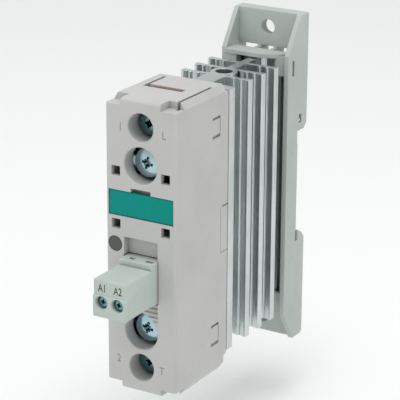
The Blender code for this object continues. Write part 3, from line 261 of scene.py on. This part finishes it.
def carve(piece, steps):
    """Runs (operation, tool) pairs, then removes the tools."""
    for operation, tool in steps:
        change = piece.modifiers.new(tool.name, "BOOLEAN")
        change.operation = {"cut": "DIFFERENCE", "add": "UNION"}[operation]
        change.object = tool
    bake(piece)
    for tool in {tool for operation, tool in steps}:
        bpy.data.objects.remove(tool, do_unlink=True)
    return piece


def smooth(piece, angle=32):
    piece.data.shade_smooth()
    piece.data.set_sharp_from_angle(angle=math.radians(angle))
    return piece


# ------------------------------------------------------------ materials


class Nodes:
    """Small helper round one material's node tree."""

    def __init__(self, name):
        self.material = bpy.data.materials.new(name)
        self.material.use_nodes = True
        self.tree = self.material.node_tree
        self.shader = self.tree.nodes["Principled BSDF"]
        self.place = self.add("ShaderNodeTexCoord").outputs["Object"]

    def add(self, kind, values=None, **settings):
        made = self.tree.nodes.new(kind)
        for key, value in settings.items():
            setattr(made, key, value)
        for key, value in (values or {}).items():
            self.put(made.inputs[key], value)
        return made

    def put(self, socket, value):
        if isinstance(value, bpy.types.NodeSocket):
            self.tree.links.new(value, socket)
        else:
            socket.default_value = value

    def noise(self, scale, detail=3.0, stretch=None):
        place = self.place
        if stretch:
            place = self.add("ShaderNodeMapping", {"Vector": place, "Scale": stretch}).outputs[0]
        values = {"Vector": place, "Scale": scale, "Detail": detail, "Roughness": 0.6}
        return self.add("ShaderNodeTexNoise", values).outputs["Fac"]

    def ramp(self, value, low, high, start, end):
        values = {"Value": value, "From Min": low, "From Max": high, "To Min": start, "To Max": end}
        return self.add("ShaderNodeMapRange", values).outputs[0]

    def mix(self, share, first, second, blend="MIX"):
        made = self.add("ShaderNodeMix", data_type="RGBA", blend_type=blend)
        self.put(made.inputs[0], share)
        self.put(made.inputs[6], first)
        self.put(made.inputs[7], second)
        return made.outputs[2]

    def maths(self, operation, first, second=0.0):
        made = self.add("ShaderNodeMath", operation=operation)
        self.put(made.inputs[0], first)
        self.put(made.inputs[1], second)
        return made.outputs[0]


def rgb(colour, factor=1.0):
    return (*[min(1.0, part * factor) for part in colour], 1.0)


def finish(name, colour, rough, metal=0.0, tint=0.05, grain=0.25, grain_size=0.3, stretch=None,
           second=None, edge=0.25, hollow_shade=0.5, bevel=0.2, coat=0.0, specular=0.5, reach=3.0, shine=1.18):
    """Colour drift and fine grain, rounded edges lightened by wear and a painted highlight, and painted shade
    in the corners, all from object space.
    """
    n = Nodes(name)
    drift = n.noise(70.0, 4.0)
    fine = n.noise(1000.0 / grain_size, 3.0, stretch)
    other = second or [part * (1 - 2 * tint) for part in colour]
    base = n.mix(n.ramp(drift, 0.35, 0.65, 0.0, 1.0), rgb(colour, 1 + tint), rgb(other))
    base = n.mix(n.ramp(fine, 0.3, 0.7, 0.0, tint), base, rgb(colour, 0.75))
    rounded = n.add("ShaderNodeBevel", {"Radius": bevel * MM}, samples=4).outputs[0]
    flat = n.add("ShaderNodeNewGeometry").outputs["Normal"]
    dot = n.add("ShaderNodeVectorMath", {0: rounded, 1: flat}, operation="DOT_PRODUCT").outputs["Value"]
    # Rounded edges turn lighter by the shine factor: partly wear, partly a painted highlight.
    wear_and_edge_highlight = n.maths("MULTIPLY", n.ramp(dot, 0.999, 0.86, 0.0, edge), n.ramp(drift, 0.3, 0.7, 0.5, 1.0))
    base = n.mix(wear_and_edge_highlight, base, rgb(colour, shine))
    # Occlusion darkens hollows, gaps and seams towards near black: painted shade.
    hollow = n.add("ShaderNodeAmbientOcclusion", {"Distance": reach * MM}, samples=8).outputs["AO"]
    painted_hollow_shade = n.ramp(hollow, 0.6, 0.05, 0.0, hollow_shade)
    base = n.mix(painted_hollow_shade, base, rgb(colour, 0.12))
    n.put(n.shader.inputs["Base Color"], base)
    n.put(n.shader.inputs["Metallic"], metal)
    spread = n.maths("ADD", n.ramp(fine, 0.3, 0.7, -0.06, 0.06), n.ramp(drift, 0.3, 0.7, -0.05, 0.05))
    n.put(n.shader.inputs["Roughness"], n.maths("ADD", spread, rough))
    n.put(n.shader.inputs["Specular IOR Level"], specular)
    n.put(n.shader.inputs["Coat Weight"], coat)
    relief = {"Strength": grain, "Distance": 0.03 * MM, "Height": fine, "Normal": rounded}
    n.put(n.shader.inputs["Normal"], n.add("ShaderNodeBump", relief).outputs[0])
    return n.material


# The edge and shine settings set the painted edge highlight, with wear; the darkening setting sets the
# painted shade in hollows and gaps.
LOOKS = {
    "case_grey": finish("case_grey_look", (0.525, 0.52, 0.515), 0.5, tint=0.02, specular=0.35),
    "base_grey": finish(
        "base_grey_look", (0.47, 0.51, 0.49), 0.5, tint=0.025, hollow_shade=0.65, reach=5.0, specular=0.35,
    ),
    "plug_grey": finish("plug_grey_look", (0.49, 0.55, 0.515), 0.48, tint=0.02, specular=0.35),
    "plate_teal": finish(
        "plate_teal_look", (0.0, 0.27, 0.235), 0.5, tint=0.03, edge=0.05, hollow_shade=0.15, specular=0.12,
    ),
    "window_dark": finish("window_dark_look", (0.055, 0.06, 0.055), 0.3, tint=0.1, grain=0.05, coat=0.4),
    "aluminium": finish(
        "aluminium_look", (0.60, 0.63, 0.63), 0.32, 1.0, tint=0.05, grain=0.35,
        grain_size=0.35, stretch=(1.0, 1.0, 0.03), hollow_shade=0.6, edge=1.0, bevel=0.2, reach=4.0, shine=1.5,
    ),
    "zinc": finish(
        "zinc_look", (0.30, 0.47, 0.56), 0.17, 1.0, tint=0.12, grain=0.9, grain_size=1.4,
        second=(0.46, 0.58, 0.60), hollow_shade=1.0, edge=1.0, bevel=0.12, reach=1.8, shine=2.2,
    ),
    # A darker copy of the zinc for the screws sunk in wells and bores: painted shade.
    "zinc_shaded": finish(
        "zinc_shaded_look", (0.12, 0.27, 0.30), 0.22, 1.0, tint=0.1, grain=0.3, grain_size=0.5,
        second=(0.17, 0.26, 0.24), hollow_shade=0.9, edge=0.5, bevel=0.1, reach=1.6,
    ),
    "copper": finish("copper_look", (0.42, 0.15, 0.11), 0.42, 0.7, tint=0.12, hollow_shade=0.5),
    "tin": finish("tin_look", (0.62, 0.63, 0.61), 0.32, 1.0, tint=0.06),
    "board_green": finish("board_green_look", (0.03, 0.2, 0.08), 0.45, tint=0.1),
    "black_plastic": finish("black_plastic_look", (0.03, 0.03, 0.03), 0.45, tint=0.1),
    "varistor_blue": finish("varistor_blue_look", (0.05, 0.12, 0.35), 0.35, tint=0.08, coat=0.4),
    "led_yellow": finish("led_yellow_look", (0.75, 0.6, 0.1), 0.2, tint=0.05, coat=0.5),
    "ceramic_white": finish("ceramic_white_look", (0.8, 0.8, 0.78), 0.55, tint=0.02),
    "silicon": finish("silicon_look", (0.12, 0.13, 0.16), 0.2, 0.6, tint=0.05),
    "foil_white": finish("foil_white_look", (0.7, 0.7, 0.66), 0.8, tint=0.03),
    "mark_grey": finish("mark_grey_look", (0.27, 0.27, 0.27), 0.6, tint=0.05, edge=0.0, hollow_shade=0.0),
    "mark_black": finish("mark_black_look", (0.05, 0.055, 0.055), 0.6, tint=0.1, edge=0.0, hollow_shade=0.0),
}


def dress(piece, slot, body="base", nodes=(), look=None):
    piece.data.materials.clear()
    piece.data.materials.append(LOOKS[look or slot])
    for polygon in piece.data.polygons:
        polygon.material_index = 0
    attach(piece, body)
    if nodes:
        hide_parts(*nodes)
    return piece


# ------------------------------------------------------------ case


def case_outline():
    right = [(HALF, -SIDE_TOP), (HALF, SIDE_TOP), (HALF - CHAMFER, CASE_TOP)]
    left = [(-x, z) for x, z in reversed(right[1:])]
    return right + left + [(-HALF, -SIDE_TOP), (CHAMFER - HALF, -CASE_TOP), (HALF - CHAMFER, -CASE_TOP)]


def case_piece():
    case = prism("case", case_outline(), FRONT, CASE_BACK + 2, "y")
    bake(soften(case, 0.9, 5, 60))
    steps = shell_steps()
    steps += front_steps()
    steps += bay_steps()
    steps += end_face_steps()
    steps += side_marks()
    steps += seam_steps()
    for first in range(0, len(steps), CARVE_BATCH):
        carve(case, steps[first:first + CARVE_BATCH])
    smooth(case)
    return dress(case, "case_grey", nodes=["case_shell"])


def shell_steps():
    """The hollow, and the blocks that stand behind the front wall."""
    trim = block("trim", (-PAST_SIDE, CASE_BACK, -PAST_ALL), (PAST_SIDE, CASE_BACK + 5, PAST_ALL))
    low = (-CASE_INNER, depth(FRONT_WALL), -CASE_INNER_TOP)
    inside = block("inside", low, (CASE_INNER, CASE_BACK + 2, CASE_INNER_TOP))
    steps = [("cut", trim), ("cut", inside)]
    steps.append(("add", block("bay", (-BLOCK_HALF, FUSE, -16.25), (BLOCK_HALF, depth(13.5), 4.2))))
    steps.append(("add", block("ramp", (-BLOCK_HALF, FUSE, -20.6), (BLOCK_HALF, depth(3.5), -15.0))))
    steps.append(("add", block("backing", (-BACKING_HALF, FUSE, 8.0), (BACKING_HALF, depth(3.2), 18.0))))
    for side in (1, -1):
        steps += screw_block_steps(side)
    return steps


def screw_block_steps(side):
    """Corner blocks on one side, with the chimney and the cup round one end's two screws."""
    steps = []
    xs = sorted((side * CORNER_X[0], side * CORNER_X[1]))
    for end in (1, -1):
        zs = sorted((end * CORNER_Z[0], end * CORNER_Z[1]))
        steps.append(("add", block("corner", (xs[0], FUSE, zs[0]), (xs[1], depth(6.0), zs[1]))))
    z = side * TERMINAL_Z
    steps.append(("add", rod("chimney", CHIMNEY_R, FUSE, depth(8.4), z=z)))
    low = (-SADDLE_WAY_X, depth(4.2), z - SADDLE_WAY_Z)
    high = (SADDLE_WAY_X, depth(ACCESS_DEPTH), z + SADDLE_WAY_Z)
    steps.append(("cut", block("saddle_way", low, high)))
    steps.append(("add", rod("cup", CUP_R, FUSE, depth(8.6), z=side * FIXING_Z)))
    return steps


def well_steps(name, z, radius, rim, bottom):
    """A round well in the front wall with a broken edge."""
    well = rod(name, radius, OUTSIDE, depth(bottom), z=z, sides=WELL_SIDES)
    low = depth(-RIM_DEPTH)
    edge = rod(f"{name}_rim", rim, low, depth(RIM_DEPTH), z=z, sides=WELL_SIDES, back_radius=radius)
    return [("cut", well), ("cut", edge)]


def front_steps():
    """Screw wells, latch windows and the notches at the four corners."""
    steps = []
    for side in (1, -1):
        steps += well_steps("access", side * TERMINAL_Z, ACCESS_R, ACCESS_RIM_R, ACCESS_DEPTH)
        steps += well_steps("fixing", side * FIXING_Z, FIXING_R, FIXING_RIM_R, FIXING_DEPTH)
        steps.append(("cut", rod("shank", 2.3, depth(5), depth(9), z=side * FIXING_Z)))
        middle = side * LATCH_HOLE_X
        for z in LATCH_HOLE_Z:
            low = (middle - LATCH_HOLE_HALF, OUTSIDE, z - LATCH_HOLE_HALF)
            high = (middle + LATCH_HOLE_HALF, depth(3.2), z + LATCH_HOLE_HALF)
            steps.append(("cut", block("latch_hole", low, high)))
        xs = sorted((side * NOTCH_X, side * PAST_SIDE))
        for end in (1, -1):
            zs = sorted((end * SIDE_TOP, end * PAST_END))
            high = (xs[1], depth(NOTCH_DEPTH), zs[1])
            steps.append(("cut", block("notch", (xs[0], OUTSIDE, zs[0]), high)))
    return steps


def bay_steps():
    """Plate bed, pry notch, light hole, label bay, plug pocket and the stair below it."""
    steps = [("cut", block("plate_bed", (-10.4, OUTSIDE, 8.8), (10.4, depth(FRONT_WALL), 16.2)))]
    steps.append(("cut", block("pry", (-3.2, OUTSIDE, 12.0), (3.2, depth(2.4), 17.35))))
    steps.append(("cut", rod("light", 2.25, OUTSIDE, depth(3), x=-8.3, z=0.5)))
    low = (-LABEL_HALF, OUTSIDE, POCKET_LOW)
    steps.append(("cut", block("label", low, (LABEL_HALF, depth(LABEL_SINK), 3.0))))
    low = (-POCKET_HALF, OUTSIDE, POCKET_LOW)
    steps.append(("cut", block("pocket", low, (POCKET_HALF, depth(14.5), -2.2))))
    for step in range(STAIRS):
        low = (-LABEL_HALF, OUTSIDE, POCKET_LOW - STAIR_RUN * (step + 1) / STAIRS)
        high = (LABEL_HALF, depth(LABEL_SINK * (1 - step / STAIRS)), -14.0)
        steps.append(("cut", block("stair", low, high)))
    return steps


def end_face_steps():
    """Tab slots and grooves in both end faces, and the drop along their back edge."""
    steps = []
    for end in (1, -1):
        zs = sorted((end * SLOT_LOW, end * PAST_END))
        steps.append(("cut", block("slot", (-7.7, depth(13.4), zs[0]), (4.8, depth(15.8), zs[1]))))
        steps.append(("cut", block("groove_left", (-7.7, depth(13.9), zs[0]), (-6.8, depth(24.5), zs[1]))))
        steps.append(("cut", block("groove_right", (8.9, depth(3.6), zs[0]), (9.8, depth(21.5), zs[1]))))
    behind = CASE_BACK + 1
    edge = CASE_BACK - 1.8
    for end, low in ((1, SLOT_LOW), (-1, 37.8)):
        points = [(behind, end * low), (behind, end * PAST_END)]
        points += [(edge, end * PAST_END), (edge, end * (low + 0.9))]
        steps.append(("cut", prism("back_drop", points, -PAST_SIDE, PAST_SIDE, "x")))
    return steps


def seam_steps():
    """A shallow step down both sides, where the case meets the heat sink."""
    steps = []
    for side in (1, -1):
        xs = sorted((side * 10.7, side * PAST_SIDE))
        low = (xs[0], CASE_BACK - 0.3, -PAST_ALL)
        steps.append(("cut", block("seam", low, (xs[1], CASE_BACK + 1, PAST_ALL))))
    return steps


def side_marks():
    """Fine grooves round the latches in both side walls."""
    steps = []
    for side in (1, -1):
        xs = sorted((side * (HALF - 0.6), side * PAST_SIDE))
        fine = sorted((side * (HALF - 0.35), side * PAST_SIDE))

        def groove(low_y, high_y, low_z, high_z, span):
            low = (span[0], depth(low_y), low_z)
            steps.append(("cut", block("mark", low, (span[1], depth(high_y), high_z))))

        for low_z, high_z in ((28.4, 34.5), (-33.5, -27.0)):
            groove(19.3, 23.5, high_z - 0.75, high_z, xs)
            groove(19.3, 23.5, low_z, low_z + 0.9, xs)
            groove(23.2, 23.5, low_z, high_z, fine)
        groove(24.0, 24.15, -6.2, 7.4, fine)
        groove(24.0, 27.9, -6.3, -6.15, fine)
        groove(25.0, 28.3, 7.2, 7.6, xs)
    return steps


# ------------------------------------------------------------ screws


def cross(name, x, z, front, reach, width, sink):
    """Tapered wings of a cross recess, with a small second cross between them."""
    steps = []
    for turn, share, slim in CROSS_ARMS:
        long = reach * share
        half = width * slim / 2
        shape = bmesh.new()
        bmesh.ops.create_cube(shape, size=1.0)
        for vert in shape.verts:
            deep = vert.co.y > 0
            vert.co.x *= 2 * long * (0.35 if deep else 1.0)
            vert.co.z *= 2 * half * (0.6 if deep else 1.0)
            vert.co.y = sink * share if deep else -sink
        spin = Matrix.Rotation(math.radians(turn + CROSS_TURN), 3, "Y")
        bmesh.ops.rotate(shape, matrix=spin, verts=shape.verts)
        bmesh.ops.translate(shape, vec=(x, depth(front), z), verts=shape.verts)
        steps.append(("cut", piece_from(f"{name}_{turn}", shape)))
    return steps


def domed_screw(name, x, z, radius, front, thick, rise, shank, length, recess):
    profile = [(0, depth(front))]
    for step in range(1, DOME_STEPS + 1):
        share = step / DOME_STEPS
        profile.append((radius * DOME_SHARE * share, depth(front + rise * share * share)))
    profile += [(radius, depth(front + rise + RIM_DROP)), (radius, depth(front + thick))]
    tip = depth(front + thick + length)
    profile += [(shank, depth(front + thick)), (shank, tip), (0, tip)]
    screw = lathe(name, profile, x, z)
    carve(screw, cross(name, x, z, front + 0.1, *recess))
    return smooth(screw, 28)


def screws():
    for place, side in (("upper", 1), ("lower", -1)):
        terminal = domed_screw(f"{place}_terminal", 0.0, side * TERMINAL_Z, **TERMINAL_SCREW)
        dress(terminal, "zinc", f"{place}_screw", [f"{place}_terminal_screw"])
        fixing = domed_screw(f"{place}_fixing", 0.0, side * FIXING_Z, **FIXING_SCREW)
        dress(fixing, "zinc", "base", [f"{place}_case_screw"], "zinc_shaded")
    for label, x in zip(("a1", "a2"), POLES):
        pole = domed_screw(f"pole_{label}", x, PLUG_SCREW_Z, **POLE_SCREW)
        dress(pole, "zinc", f"screw_{label}", [f"plug_screw_{label}"], "zinc_shaded")


# ------------------------------------------------------------ control plug


def plug_piece():
    plug = soften(block("plug", (-5.37, depth(-15.6), -14.77), (5.37, depth(-1.5), -4.0)), 0.55, 4)
    bake(plug)
    brow = bake(soften(block("brow", (-5.4, depth(-16.0), -14.8), (5.4, depth(-14.6), -8.4)), 0.4, 3))
    flange = bake(soften(block("flange", (-5.4, depth(-3.0), -14.79), (5.4, depth(8.0), -2.45)), 0.3, 3))
    steps = [("add", brow), ("add", flange)]
    steps.append(("cut", block("line", (-5.2, depth(-3.3), -4.4), (5.2, depth(-3.0), -3.5))))
    for low, high in ((-2.95, -1.3), (2.2, 4.6)):
        steps.append(("cut", block("nub", (low, depth(-1.5), -3.6), (high, depth(-0.25), -2.0))))
    for x in POLES:
        steps.append(("cut", rod("bore", 1.85, depth(-17), depth(-13.6), x, PLUG_SCREW_Z)))
        rim = rod("rim", 2.1, depth(-16.25), depth(-15.8), x, PLUG_SCREW_Z, back_radius=1.85)
        steps.append(("cut", rim))
        steps.append(("cut", rod("shank", 1.25, depth(-14.5), depth(-12.0), x, PLUG_SCREW_Z, sides=32)))
        steps.append(("cut", block("cavity", (x - 2.2, depth(-13.3), -13.5), (x + 2.2, depth(-4.1), -6.4))))
        steps.append(("cut", block("entry", (x - 1.7, depth(-9.0), -16), (x + 1.7, depth(-5.3), -12.5))))
        steps.append(("cut", block("socket", (x - 1.55, depth(-5.1), -10.15), (x + 1.55, depth(9), -6.4))))
    carve(plug, steps[:2])
    carve(plug, steps[2:])
    smooth(plug)
    return dress(plug, "plug_grey", "plug", ["control_plug"])


def mark(text, x, z, y, height, slot, body, slim=0.8, weight=0.0):
    """A printed mark as a thin raised skin on the face."""
    curve = bpy.data.curves.new(f"mark_{text}", "FONT")
    curve.body = text
    curve.align_x = "CENTER"
    curve.align_y = "CENTER"
    curve.size = height * 1.38 * MM
    curve.offset = weight * MM
    curve.extrude = 0.012 * MM
    source = bpy.data.objects.new(f"mark_{text}", curve)
    bpy.context.scene.collection.objects.link(source)
    bpy.context.view_layer.update()
    graph = bpy.context.evaluated_depsgraph_get()
    mesh = bpy.data.meshes.new_from_object(source.evaluated_get(graph))
    bpy.data.objects.remove(source, do_unlink=True)
    mesh.transform(Matrix.Diagonal((slim, 1, 1, 1)))
    mesh.transform(Matrix.Rotation(math.pi / 2, 4, "X"))
    made = bpy.data.objects.new(f"mark_{text}_{body}_{int(z)}", mesh)
    made.location = (x * MM, (y - 0.005) * MM, z * MM)
    bpy.context.scene.collection.objects.link(made)
    return dress(made, slot, body)


def marks():
    for text, x, z in (("1", -6.35, 34.4), ("L", 7.45, 33.9), ("2", -7.35, -33.8), ("T", 6.75, -34.7)):
        mark(text, x, z, FRONT, 2.4, "mark_grey", "base")
    for text, x in (("A1", -2.45), ("A2", 2.55)):
        mark(text, x, -6.45, depth(-15.6), 2.3, "mark_black", "plug", 0.72, 0.03)


# ------------------------------------------------------------ heat sink


def fin_points(middle, root):
    """One fin with round ribs: smaller ones on its back, and a bulb at its tip."""
    places = [HALF - RIB_R - number * RIB_PITCH for number in range(3)]
    front = [(root, middle - FIN_HALF)]
    for place in reversed(places[1:]):
        front += arc((place, middle - FIN_HALF), RIB_R, 180, 360, 10)
    tip = [(min(x, HALF), y) for x, y in arc((places[0], middle), FIN_HALF + RIB_R, 250, 470, 16)]
    back = []
    for place in places[1:]:
        back += arc((place, middle + FIN_HALF), RIB_R * 0.5, 0, 180, 6)
    return front + tip + back + [(root, middle + FIN_HALF)]


def sink_points():
    front = SINK_FRONT
    back = front + FLANGE_THICK
    points = [(HALF - 0.15, front), (HALF, front + 0.15), (HALF, back - 0.6), (HALF - 0.6, back)]
    points += [(3.9, back + 0.3), (3.0, back + 1.4)]
    for number in range(3):
        middle = front + FIN_FIRST + FIN_PITCH * number
        if number == 1:
            boss = arc((0, front + CHANNEL_MIDDLE), BOSS_R, -60, 60, 16)
            points += [(x, y) for x, y in boss if front + 13.2 < y < middle - 1.2]
        points += fin_points(middle, 3.0 if number == 0 else 1.3)
    points += [(1.3, -5.4), (2.6, -4.1), (7.0, -3.6), (7.0, -2.1)]
    return points


def sink_piece():
    right = sink_points()
    left = [(-x, y) for x, y in reversed(right)]
    sink = prism("sink", right + left, SINK_BOTTOM, SINK_TOP, "z")
    y = SINK_FRONT + CHANNEL_MIDDLE
    shape = bmesh.new()
    bmesh.ops.create_cone(
        shape, cap_ends=True, segments=64, radius1=CHANNEL_R, radius2=CHANNEL_R, depth=100
    )
    bmesh.ops.translate(shape, vec=(0, y, 0), verts=shape.verts)
    steps = [("cut", piece_from("channel", shape))]
    for side in (1, -1):
        steps.append(("cut", rod("thread", 2.3, CASE_BACK - 1, depth(33.5), z=side * FIXING_Z)))
    carve(sink, steps)
    smooth(sink, 30)
    return dress(sink, "aluminium", nodes=["heat_sink"])


# ------------------------------------------------------------ rail base


def base_points():
    points = [(BASE_FRONT, -39.0), (-0.6, BASE_BOTTOM), (4.5, BASE_BOTTOM), (BASE_BACK, -48.1)]
    points += [(BASE_BACK, RAIL_BOTTOM), (4.1, -15.6), (1.5, -14.0), (1.2, -14.3), (1.2, RAIL_BOTTOM)]
    points += [(-0.3, RAIL_BOTTOM), (-0.3, -13.8), (0.0, -13.8), (0.0, 13.8), (-0.3, 13.8), (-0.3, RAIL_TOP)]
    points += [(3.7, RAIL_TOP), (BASE_BACK, 19.3), (BASE_BACK, BASE_TOP), (0.5, BASE_TOP), (BASE_FRONT, 42.0)]
    return points


def zone(name, end, low_xy, high_xy, near, far):
    """A block between two distances from the middle, on the upper or the lower end."""
    zs = sorted((end * near, end * far))
    return block(name, (*low_xy, zs[0]), (*high_xy, zs[1]))


def shelf_steps(end, shelf):
    """The shelf's front edge, nearly straight on the left with a wide round corner on the right."""
    outer = shelf + SHELF_THICK
    low = (-BASE_INNER, TRAY_FRONT)
    steps = [("cut", zone("trim", end, low, (BASE_INNER, -2.75), shelf - 1, outer + 1))]
    edge = [(BASE_INNER, SHELF_ROOT), (-BASE_INNER, SHELF_ROOT), (-BASE_INNER, -7.7)]
    edge += arc((0, SHELF_CURVE_R + SHELF_FRONT), SHELF_CURVE_R, -90, -36, 24)
    zs = sorted((end * shelf, end * outer))
    steps.append(("add", prism("shelf", edge, zs[0], zs[1], "z")))
    for side, front in STOP_FRONTS:
        xs = sorted((side * STOP_X[0], side * STOP_X[1]))
        stop = zone("stop", end, (xs[0], front), (xs[1], -4.5), shelf - 5.2, shelf + 0.6)
        steps.append(("add", stop))
    return steps


def end_steps(end):
    limit = BASE_TOP if end > 0 else -BASE_BOTTOM
    shelf = SHELF_HIGH if end > 0 else -SHELF_LOW
    edge = RAIL_TOP if end > 0 else -RAIL_BOTTOM
    outer = shelf + SHELF_THICK
    tray = zone("tray", end, (-BASE_INNER, TRAY_FRONT), (BASE_INNER, TAB_FACE), outer, limit + 5)
    hollow = zone("hollow", end, (-BASE_INNER, -0.3), (BASE_INNER, 10), edge + 3.4, shelf - SHELF_THICK)
    steps = [("cut", tray), ("cut", hollow)]
    steps += shelf_steps(end, shelf)
    for low, high in WINDOWS:
        steps.append(("cut", zone("window", end, (low, -1.9), (high, 10), shelf - 1.3, outer + 0.35)))
    z = end * (limit - TAB_HOLE_MARGIN)
    steps.append(("cut", rod("tab_hole", TAB_HOLE_R, -1, 7, z=z, sides=64)))
    steps.append(("cut", rod("tab_recess", TAB_RECESS_R, 4.0, 7, z=z, sides=64)))
    return steps


def base_piece():
    base = prism("base", base_points(), -HALF, HALF, "x")
    bake(soften(base, 0.3, 3, 50))
    steps = [("cut", block("channel", (-BASE_INNER, TRAY_FRONT, SHELF_LOW), (BASE_INNER, -1.8, SHELF_HIGH)))]
    for end in (1, -1):
        steps += end_steps(end)
    steps.append(("cut", block("spring_slot", (-PAST_SIDE, 0.3, 20.1), (PAST_SIDE, 1.9, 22.7))))
    steps.append(("cut", block("spring_way", (-BASE_INNER, -0.3, 16.7), (BASE_INNER, 1.9, 22.1))))
    steps.append(("cut", block("side_slot", (0, -4.4, 35.4), (PAST_SIDE, -3.2, 40.0))))
    carve(base, steps)
    smooth(base)
    return dress(base, "base_grey", nodes=["mounting_base"])


# ------------------------------------------------------------ carried-over nodes

SLOT_OF = {entry["node"]: entry["material_slot"] for entry in frame["record"]["subparts"]}


def dress_cad_nodes():
    for name, node in frame["nodes"].items():
        node.data.materials.clear()
        node.data.materials.append(LOOKS[SLOT_OF[name]])
        node.data.shade_smooth()
        node.data.set_sharp_from_angle(angle=math.radians(30))


# ------------------------------------------------------------ studio


def camera():
    data = bpy.data.cameras.new("camera")
    data.lens = 173.98
    data.sensor_width = 36.0
    data.clip_start = 0.01
    data.clip_end = 20.0
    made = bpy.data.objects.new("camera", data)
    right = Vector((0.8607, 0.5090, 0.0))
    up = Vector((-0.1676, 0.2833, 0.9443))
    back = Vector((0.4807, -0.8128, 0.3292))
    roll = math.radians(0.34)
    across = right * math.cos(roll) + up * math.sin(roll)
    above = up * math.cos(roll) - right * math.sin(roll)
    turn = Matrix((across, above, back)).transposed().to_4x4()
    made.matrix_world = Matrix.Translation(Vector((265.9, -487.6, 187.3)) * MM) @ turn
    bpy.context.scene.collection.objects.link(made)
    bpy.context.scene.camera = made


def area_light(name, place, aim, size, power, colour):
    data = bpy.data.lights.new(name, "AREA")
    data.shape = "DISK"
    data.size = size
    data.energy = power
    data.color = colour
    made = bpy.data.objects.new(name, data)
    made.location = place
    made.rotation_mode = "QUATERNION"
    made.rotation_quaternion = (Vector(aim) - Vector(place)).to_track_quat("-Z", "Y")
    bpy.context.scene.collection.objects.link(made)


def studio():
    world = bpy.data.worlds.new("studio")
    bpy.context.scene.world = world
    world.use_nodes = True
    sky = world.node_tree.nodes["Background"]
    sky.inputs["Color"].default_value = (0.98, 1.0, 0.99, 1.0)
    sky.inputs["Strength"].default_value = 0.74
    area_light("key", (0.12, -0.2, 0.8), (0, -0.03, 0), 0.5, 3.0, (1.0, 0.99, 0.98))
    area_light("fill", (-0.7, -0.5, 0.25), (0, -0.03, 0), 0.6, 0.4, (0.97, 0.99, 1.0))
    shape = bmesh.new()
    bmesh.ops.create_grid(shape, x_segments=1, y_segments=1, size=8000)
    bmesh.ops.translate(shape, vec=(0, 0, BASE_BOTTOM - 20), verts=shape.verts)
    floor = piece_from("floor", shape)
    plain = Nodes("floor_look")
    tone = plain.mix(plain.noise(3.0), (0.93, 0.94, 0.935, 1), (0.95, 0.96, 0.955, 1))
    plain.put(plain.shader.inputs["Base Color"], tone)
    plain.put(plain.shader.inputs["Roughness"], 0.9)
    floor.data.materials.append(plain.material)
    settings = bpy.context.scene.view_settings
    settings.view_transform = "Standard"


dress_cad_nodes()
case_piece()
screws()
plug_piece()
marks()
sink_piece()
base_piece()
camera()
studio()
